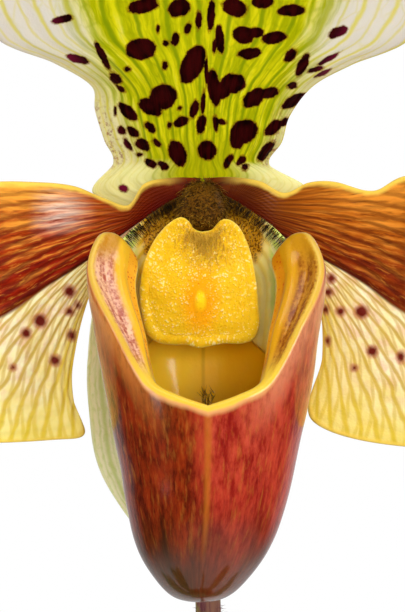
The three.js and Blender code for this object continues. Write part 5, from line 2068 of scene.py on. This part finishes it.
    def dress(self) -> bpy.types.Material:
        """Pale grey-green with dark blotches between fine veins, and a purple flush underneath."""
        paint = Paint("leaf_mottled")
        wide, long, share, across, top = paint.fields("wide", "long", "share", "across", "top")
        flat = paint.vector(wide, long * 0.55)
        blotch = flat.noise(3.4, 3.0, 0.65)
        patch = paint.vector(wide, long).noise(13.0, 2.0)
        dark = (blotch + patch * 0.3).step(0.6, 0.72)
        checks = paint.vector(wide * 1.6, long).cells(4.5, "DISTANCE_TO_EDGE")
        vein = (wide * 0.9).lines(0.12, 0.2)
        spine = abs(across).step(0.07, 0.0)
        base = paint.over(
            paint.mix(dark, "93ad78", "3f6a34"),
            (checks.step(0.12, 0.02) * 0.45, "47713c"),
            (vein * 0.3, "4f7a42"),
            (spine * 0.5, "c1cf98"),
            (share.step(0.16, 0.02), "a9b878"),
        )
        under = paint.mix(paint.vector(wide, long).noise(5.0, 3.0), "8da06a", "9a7f76")
        under = paint.mix(flat.noise(0.8).step(0.6, 0.68), under, "6b3f4c")
        base = paint.mix(top, under, base)
        grooves = paint.vector(wide * 3.0, long).noise(3.0) - vein * 0.4
        flesh = Flesh(glow=0.1, reach=1.0, coat=0.2, coat_roughness=0.3, tint=(0.6, 1.0, 0.3))
        return paint.finish(base, 0.42, paint.bump(grooves, 0.12), flesh)


@dataclass
class ClayPot:
    """A plain thrown clay pot with a collar and five drain holes."""

    height: float = 95.0
    base_radius: float = 42.0
    top_radius: float = 54.0
    collar_radius: float = 58.0
    collar_height: float = 20.0
    wall: float = 4.5
    floor: float = 6.0
    hole_radius: float = 4.5
    hole_ring: float = 26.0
    holes: int = 5
    sides: int = 180
    step: float = 1.6

    def wall_radius(self, z: float) -> float:
        """Outer radius of the wall at a height."""
        return self.base_radius + (self.top_radius - self.base_radius) * z / self.height

    def profile(self) -> Array:
        """The outline from the middle of the underside, out, up and down again to the floor.

        Returns:
            Radius and height of each corner, with rounded edges and long sides cut in short steps.
        """
        base, wide, top, floor = self.base_radius, self.collar_radius, self.height, self.floor
        collar = top - self.collar_height
        waist = self.wall_radius(collar)
        inner_foot = self.wall_radius(floor) - self.wall
        inner_top = self.wall_radius(top) - self.wall
        corners = np.array([
            (0.0, 0.0), (base - 1.2, 0.0), (base - 0.3, 0.3), (base, 1.2),
            (waist - 0.1, collar - 0.3), (waist + 0.8, collar), (wide - 1.8, collar + 0.3),
            (wide - 0.9, collar + 1.0), (wide - 0.6, collar + 2.2), (wide, top - 2.4),
            (wide - 0.3, top - 1.0), (wide - 1.3, top - 0.1), (wide - 2.2, top),
            (inner_top + 1.6, top), (inner_top + 0.5, top - 0.4), (inner_top, top - 1.6),
            (inner_foot, floor + 1.0), (inner_foot - 1.0, floor), (0.0, floor),
        ])
        rows = [corners[:1]]
        for start, end in zip(corners, corners[1:]):
            count = max(1, int(math.dist(start, end) / self.step))
            rows.append(start + (end - start) * np.arange(1, count + 1)[:, None] / count)
        return np.concatenate(rows)

    def build(self) -> None:
        """Spins the outline, presses in the marks of throwing and cuts the drain holes."""
        rows = self.profile()
        radius, z = rows[1:-1].T[..., None]
        ring = np.stack([np.cos(turns(self.sides)), np.sin(turns(self.sides))], -1)
        upright = np.broadcast_to(z[..., None], (len(z), self.sides, 1))
        places = np.concatenate([ring[None] * radius[..., None], upright], -1)
        marks = 0.12 * np.sin(z * 1.9) + 0.12 * grain(places, 9.0, 61)
        wall = ease(z, 0.5, 3.0) * ease(radius, 30.0, 36.0)
        places[..., :2] += ring[None] * (marks * wall)[..., None]
        skin = capped(places, [0, 0, rows[0, 1]], [0, 0, rows[-1, 1]])
        self.drill(make_piece("clay_pot", skin, self.dress(), ["pot"]))

    def drill(self, pot: bpy.types.Object) -> None:
        """Cuts the drain holes through the floor.

        Args:
            pot: The pot, whose mesh is replaced by the cut one.
        """
        drills = []
        for turn in 2 * np.pi * (np.arange(self.holes) + 0.5) / self.holes:
            spot = [self.hole_ring * math.cos(turn), self.hole_ring * math.sin(turn)]
            line = np.array([[*spot, -4.0], [*spot, 3.0], [*spot, self.floor + 4.0]])
            rod = Tube(line, np.full(3, self.hole_radius), 24)
            mesh = bpy.data.meshes.new("drill")
            faces = rod.quads.tolist() + rod.triangles.tolist()
            mesh.from_pydata((rod.points * MM).tolist(), [], faces)
            drill = bpy.data.objects.new("drill", mesh)
            bpy.context.scene.collection.objects.link(drill)
            cut = pot.modifiers.new("hole", "BOOLEAN")
            cut.object, cut.operation, cut.solver = drill, "DIFFERENCE", "EXACT"
            drills.append(drill)
        graph = bpy.context.evaluated_depsgraph_get()
        finished = bpy.data.meshes.new_from_object(pot.evaluated_get(graph))
        pot.modifiers.clear()
        pot.data = finished
        for drill in drills:
            bpy.data.objects.remove(drill)

    def dress(self) -> bpy.types.Material:
        """Fired clay with darker damp patches, pale mineral bloom and small pits."""
        paint = Paint("fired_clay")
        cloud = paint.noise(26.0, 4.0)
        damp = paint.millimetres(1.0, 1.0, 1.6).noise(34.0, 3.0).step(0.5, 0.62)
        bloom = paint.millimetres(1.0, 1.0, 2.2).noise(20.0, 5.0, 0.65).step(0.52, 0.68)
        bloom = bloom * paint.noise(1.6, 3.0, 0.7).step(0.35, 0.65)
        base = paint.over(
            paint.mix(cloud.step(0.3, 0.7), "b0623c", "c67a50"),
            (paint.noise(1.2, 4.0, 0.7) * 0.35, "8f4a2c"),
            (damp * 0.3, "8a4b30"),
            (bloom * 0.55, "e3cdb6"),
        )
        pits = paint.where.cells(2.6).step(0.12, 0.3)
        height = paint.noise(0.9, 4.0, 0.7) + pits * 0.35
        return paint.finish(base, 0.86, paint.bump(height, 0.22))


@dataclass
class Bedding:
    """The bark mix: a lumpy top, crumbs all over it, and the larger chips of the frame."""

    chips: int = 12
    chip_size: tuple[float, float, float] = (13.0, 8.5, 5.0)
    chip_rise: float = 0.6
    ring: float = 42.0
    crumbs: int = 1500
    radius: float = 47.4
    foot_radius: float = 37.6
    depth: float = 73.5
    roots: int = 6

    def build(self) -> None:
        """Builds and dresses the mix, its crumbs and the chips, and finishes the roots."""
        self.bed()
        self.scatter()
        finish = self.bark("chip_bark")
        for k in range(self.chips):
            self.chip(k, finish)
        felt = self.root_felt()
        for number in range(1, self.roots + 1):
            materials = bpy.data.objects[f"root_{number}"].data.materials
            materials.clear()
            materials.append(felt)

    def lump(self, x: Array, y: Array) -> Array:
        """Height of the mix's top at a place: slow waves and a fine grain."""
        wave = np.sin(0.31 * x + 1) * np.cos(0.27 * y) + 0.6 * np.sin(0.23 * (x - y))
        fine = grain(np.stack([x, y, 0 * x], -1), 2.2, 71)
        return MIX_TOP + 0.8 * wave + 0.7 * fine

    def bed(self) -> None:
        """A closed plug: a lumpy top on a ring of the pot's inner radius, and a plain underside."""
        sides, rows = 150, 46
        foot = MIX_TOP - self.depth
        ring_x, ring_y = np.cos(turns(sides)), np.sin(turns(sides))
        reach = self.radius * np.linspace(0.0, 1.0, rows)[:0:-1, None]
        x, y = reach * ring_x, reach * ring_y
        top = np.stack([x, y, self.lump(x, y)], -1)
        wide = self.foot_radius
        low = np.stack([wide * ring_x, wide * ring_y, np.full(sides, foot)], -1)
        summit = self.lump(np.zeros(1), np.zeros(1))[0]
        skin = capped(np.concatenate([low[None], top]), [0, 0, foot], [0, 0, summit])
        paint = Paint("damp_mix")
        base = paint.mix(paint.noise(2.0, 5.0, 0.7), "2c1b10", "5a3f29")
        height = paint.noise(1.2, 5.0, 0.7) + paint.where.cells(2.4)
        finish = paint.finish(base, 0.95, paint.bump(height, 0.6))
        make_piece("bark_mix", skin, finish, ["potting_mix"])

    def pebble(self) -> tuple[Array, Array]:
        """A small lump with 12 corners: an icosahedron, round enough once it is scattered.

        Returns:
            Places on a ball of radius one, and triangles.
        """
        shape = bmesh.new()
        bmesh.ops.create_icosphere(shape, subdivisions=1, radius=1.0)
        mesh = bpy.data.meshes.new("pebble")
        shape.to_mesh(mesh)
        shape.free()
        points = np.zeros(3 * len(mesh.vertices))
        faces = np.zeros(len(mesh.loops), np.int32)
        mesh.vertices.foreach_get("co", points)
        mesh.loops.foreach_get("vertex_index", faces)
        bpy.data.meshes.remove(mesh)
        return points.reshape(-1, 3), faces.reshape(-1, 3)

    def scatter(self) -> None:
        """Crumbs of bark of many sizes, flattened and turned, half sunk in the top."""
        chance = np.random.default_rng(81)
        ball, faces = self.pebble()
        count = self.crumbs
        reach = self.radius * 0.985 * np.sqrt(chance.uniform(0, 1, count))
        angle = chance.uniform(0, 2 * np.pi, count)
        x, y = reach * np.cos(angle), reach * np.sin(angle)
        size = np.exp(chance.normal(math.log(1.25), 0.42, count)).clip(0.5, 3.2)
        size = np.minimum(size, (self.radius - reach) * 0.6 + 0.7)
        shape = size[:, None] * chance.uniform((0.9, 0.6, 0.35), (1.5, 1.0, 0.65), (count, 3))
        lumps = ball[None] * shape[:, None] * (1 + 0.22 * chance.normal(size=(count, len(ball), 1)))
        spin, lean = chance.uniform(0, 2 * np.pi, count), chance.normal(0, 0.35, count)
        c, s, cl, sl = np.cos(spin), np.sin(spin), np.cos(lean), np.sin(lean)
        zero, one = np.zeros(count), np.ones(count)
        lean_by = np.stack([one, zero, zero, zero, cl, -sl, zero, sl, cl], -1).reshape(-1, 3, 3)
        spin_by = np.stack([c, -s, zero, s, c, zero, zero, zero, one], -1).reshape(-1, 3, 3)
        turned = lumps @ np.swapaxes(spin_by @ lean_by, 1, 2)
        middle = np.stack([x, y, self.lump(x, y) + 0.15 * size], -1)
        points = (turned + middle[:, None]).reshape(-1, 3)
        triangles = (faces[None] + len(ball) * np.arange(count)[:, None, None]).reshape(-1, 3)
        crumbs = Mesh(points, np.zeros((0, 4), int), triangles)
        tone = {"tone": np.repeat(chance.uniform(0, 1, count), len(ball))}
        make_piece("bark_crumbs", crumbs, self.bark("crumb_bark", True), (), tone)

    def chip(self, k: int, finish: bpy.types.Material) -> None:
        """One large chip: a rounded block with split layers, where the frame has its plain lump.

        Args:
            k: Its number from 0.
            finish: Its material.
        """
        rows, sides = 30, 44

        def part(step: float) -> float:
            """A share from 0 to 1 that the chip's number gives."""
            return (k * step) % 1

        def power(values: Array, exponent: float) -> Array:
            """The sign of each value times its size to a power."""
            return np.sign(values) * np.abs(values) ** exponent

        tilt = np.linspace(-np.pi / 2, np.pi / 2, rows)[1:-1]
        round_off = power(np.cos(tilt), 0.5)[:, None]
        x = round_off * power(np.cos(turns(sides)), 0.6)
        y = round_off * power(np.sin(turns(sides)), 0.6)
        z = np.broadcast_to(power(np.sin(tilt), 0.7)[:, None], x.shape)
        skin = capped(np.stack([x, y, z], -1), [0, 0, -1], [0, 0, 1])
        halves = [0.38 + 0.14 * part(0.37), 0.4 + 0.12 * part(0.61), 0.42 + 0.12 * part(0.83)]
        body = skin.points * (np.array(self.chip_size) * halves) * [0.86, 0.86, 0.9]
        layers = grain(body * [0.25, 1.0, 2.2] + 40 * k, 1.6, 91)
        body = body * (1 + 0.09 * layers + 0.12 * grain(body + 40 * k, 4.0, 92))[:, None]
        leans = (0.35 * (part(0.29) - 0.5), 0.3 * (part(0.71) - 0.5), 2.4 * math.pi * part(0.43))
        for axis, angle in enumerate(leans):
            a, b = (axis + 1) % 3, (axis + 2) % 3
            first = body[:, a] * math.cos(angle) - body[:, b] * math.sin(angle)
            body[:, b] = body[:, a] * math.sin(angle) + body[:, b] * math.cos(angle)
            body[:, a] = first
        around = 2 * math.pi * (k + 0.35 * part(0.57)) / self.chips
        ring = self.ring - 5.5 * part(0.47)
        seat = [ring * math.cos(around), ring * math.sin(around), MIX_TOP + self.chip_rise]
        skin.points = body + seat
        name = f"bark_chip_{k + 1:02d}"
        make_piece(f"{name}_block", skin, finish, [name])

    def bark(self, name: str, toned: bool = False) -> bpy.types.Material:
        """Fir bark: brown layers with pale and charred streaks.

        Args:
            name: The material's name.
            toned: Whether each crumb has a tone of its own.

        Returns:
            The material.
        """
        paint = Paint(name)
        layers = paint.millimetres(0.5, 1.0, 2.0).noise(1.3, 5.0, 0.65)
        base = paint.mix(layers.step(0.3, 0.7), "54341f", "94673f")
        base = paint.mix(paint.noise(2.5, 4.0).step(0.56, 0.7), base, "2e1c12")
        if toned:
            base = paint.mix(paint.field("tone") * 0.55, base, "3a2416")
        height = layers + paint.noise(0.5, 4.0) * 0.5
        return paint.finish(base, 0.88, paint.bump(height, 0.35))

    def root_felt(self) -> bpy.types.Material:
        """Brown felt of fine root hairs."""
        paint = Paint("root_felt")
        base = paint.mix(paint.noise(1.0, 4.0), "5a3c22", "8a6a48")
        return paint.finish(base, 0.95, paint.bump(paint.noise(0.4, 3.0), 0.2))


@dataclass
class Studio:
    """The white room: floor, lights, sky and camera."""

    floor_radius: float = 0.7
    floor_height: float = -0.05
    fade: tuple[float, float] = (150.0, 620.0)  # the floor fades between these distances
    lens: float = 132.8
    sky: float = 0.45
    mirrored: tuple[float, float] = (0.03, 0.48)  # in front of the flower, and behind it
    # Each light: name, place, point it faces, width, height, power in watts, whether it is mirrored
    lights: tuple = (
        ("key", (0.75, -0.8, 0.78), (0.0, 0.0, 0.3), 0.45, 0.6, 5.8, True),
        ("fill", (-0.85, -0.6, 0.5), (0.0, 0.0, 0.3), 0.25, 0.8, 2.6, True),
        ("front", (0.1, -1.3, 0.45), (0.0, 0.0, 0.33), 0.7, 0.5, 7.5, False),
        ("top", (0.0, 0.0, 1.35), (0.0, 0.0, 0.2), 0.9, 0.9, 5.0, True),
        ("back_left", (-0.6, 0.85, 0.6), (0.0, 0.0, 0.3), 0.6, 0.6, 4.0, True),
        ("back_right", (0.7, 0.8, 0.65), (0.0, 0.0, 0.3), 0.6, 0.6, 5.0, True),
    )

    def build(self) -> None:
        """Sets up the floor, the lights, the sky and the camera."""
        self.floor()
        self.white_sky()
        for name, place, towards, width, height, power, mirrored in self.lights:
            data = bpy.data.lights.new(name, "AREA")
            data.shape, data.size, data.size_y, data.energy = "RECTANGLE", width, height, power
            lamp = bpy.data.objects.new(name, data)
            lamp.location = place
            away = Vector(place) - Vector(towards)
            lamp.rotation_euler = away.to_track_quat("Z", "Y").to_euler()
            lamp.visible_camera = False
            lamp.visible_glossy = mirrored
            bpy.context.scene.collection.objects.link(lamp)
        self.camera()

    def floor(self) -> None:
        """A plain pale disc, flat at the pot's foot."""
        rings, sides = 6, 96
        reach = self.floor_radius * 1000 * (np.arange(rings) + 1)[:, None] / rings
        x, y = reach * np.cos(turns(sides)), reach * np.sin(turns(sides))
        rims = np.stack([x, y, np.full_like(x, self.floor_height)], -1)
        points = np.concatenate([rims.reshape(-1, 3), [[0, 0, self.floor_height]]])
        corner = np.arange(rings * sides).reshape(rings, sides)
        ahead = np.roll(corner, -1, axis=1)
        quads = np.stack([corner[:-1], corner[1:], ahead[1:], ahead[:-1]], -1)
        middle = np.stack([corner[0], ahead[0], np.full(sides, corner.size)], -1)
        faces = quads.reshape(-1, 4).tolist() + middle.tolist()
        mesh = bpy.data.meshes.new("studio_floor")
        mesh.from_pydata((points * MM).tolist(), [], faces)
        disc = bpy.data.objects.new("studio_floor", mesh)
        bpy.context.scene.collection.objects.link(disc)
        mesh.materials.append(self.paper())
        disc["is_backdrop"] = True

    def paper(self) -> bpy.types.Material:
        """White paper that is there around the pot, and fades out further off."""
        paint = Paint("floor_paper")
        far = paint.add("VectorMath", {0: paint.where}, "Value", operation="LENGTH")
        white = paint.mix(paint.noise(90.0), "f0efec", "f4f3f0")
        seen = far.step(self.fade[1], self.fade[0])
        return paint.finish(white, 0.9, Alpha=seen, Specular_IOR_Level=0.0)

    def white_sky(self) -> None:
        """White where it is looked at, soft on the plant, and mirrored only behind the flower."""
        world = bpy.data.worlds.new("white_room")
        bpy.context.scene.world = world
        nodes = Nodes(world)
        heading = nodes.add("TexCoord", {}, "Generated")
        mirrored = nodes.add("SeparateXYZ", {0: heading}, "Y").step(0.35, 0.65, self.mirrored)
        glossy = nodes.add("LightPath", {}, "Is Glossy Ray")
        looked_at = nodes.add("LightPath", {}, "Is Camera Ray")
        shown = nodes.add("Mix", {0: glossy, 2: self.sky, 3: mirrored})
        shown = nodes.add("Mix", {0: looked_at, 2: shown, 3: 1.0})
        light = nodes.add("Background", {"Color": (1.0, 1.0, 1.0, 1.0), "Strength": shown})
        nodes.node("OutputWorld", {0: light})

    def camera(self) -> None:
        """A level camera that looks the flower in the face."""
        data = bpy.data.cameras.new("portrait")
        data.lens, data.sensor_width, data.sensor_fit = self.lens, 36.0, "AUTO"
        data.clip_start = 0.01
        view = bpy.data.objects.new("portrait", data)
        view.location = (0.0, (FLOWER[1] - FACE_DISTANCE) * MM, FLOWER[2] * MM)
        view.rotation_euler = (math.radians(90), 0.0, 0.0)
        bpy.context.scene.collection.objects.link(view)
        bpy.context.scene.camera = view
        bpy.context.scene.view_settings.view_transform = "Standard"


def corners() -> list[list[float]]:
    """Lowest and highest corner of what is shown, as plain lists."""
    return [list(corner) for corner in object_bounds()]


def main() -> None:
    """Builds the studio and every piece of the plant."""
    logging.basicConfig(level=logging.INFO, format="%(name)s %(message)s")
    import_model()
    Studio().build()
    DorsalSepal().build()
    Synsepal().build()
    LEFT_PETAL.build()
    RIGHT_PETAL.build()
    Pouch().build()
    Claw().build()
    Staminode().build()
    Column().build()
    Stem().build()
    Foliage().build()
    Bedding().build()
    ClayPot().build()
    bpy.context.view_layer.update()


if __name__ == "__main__":
    main()
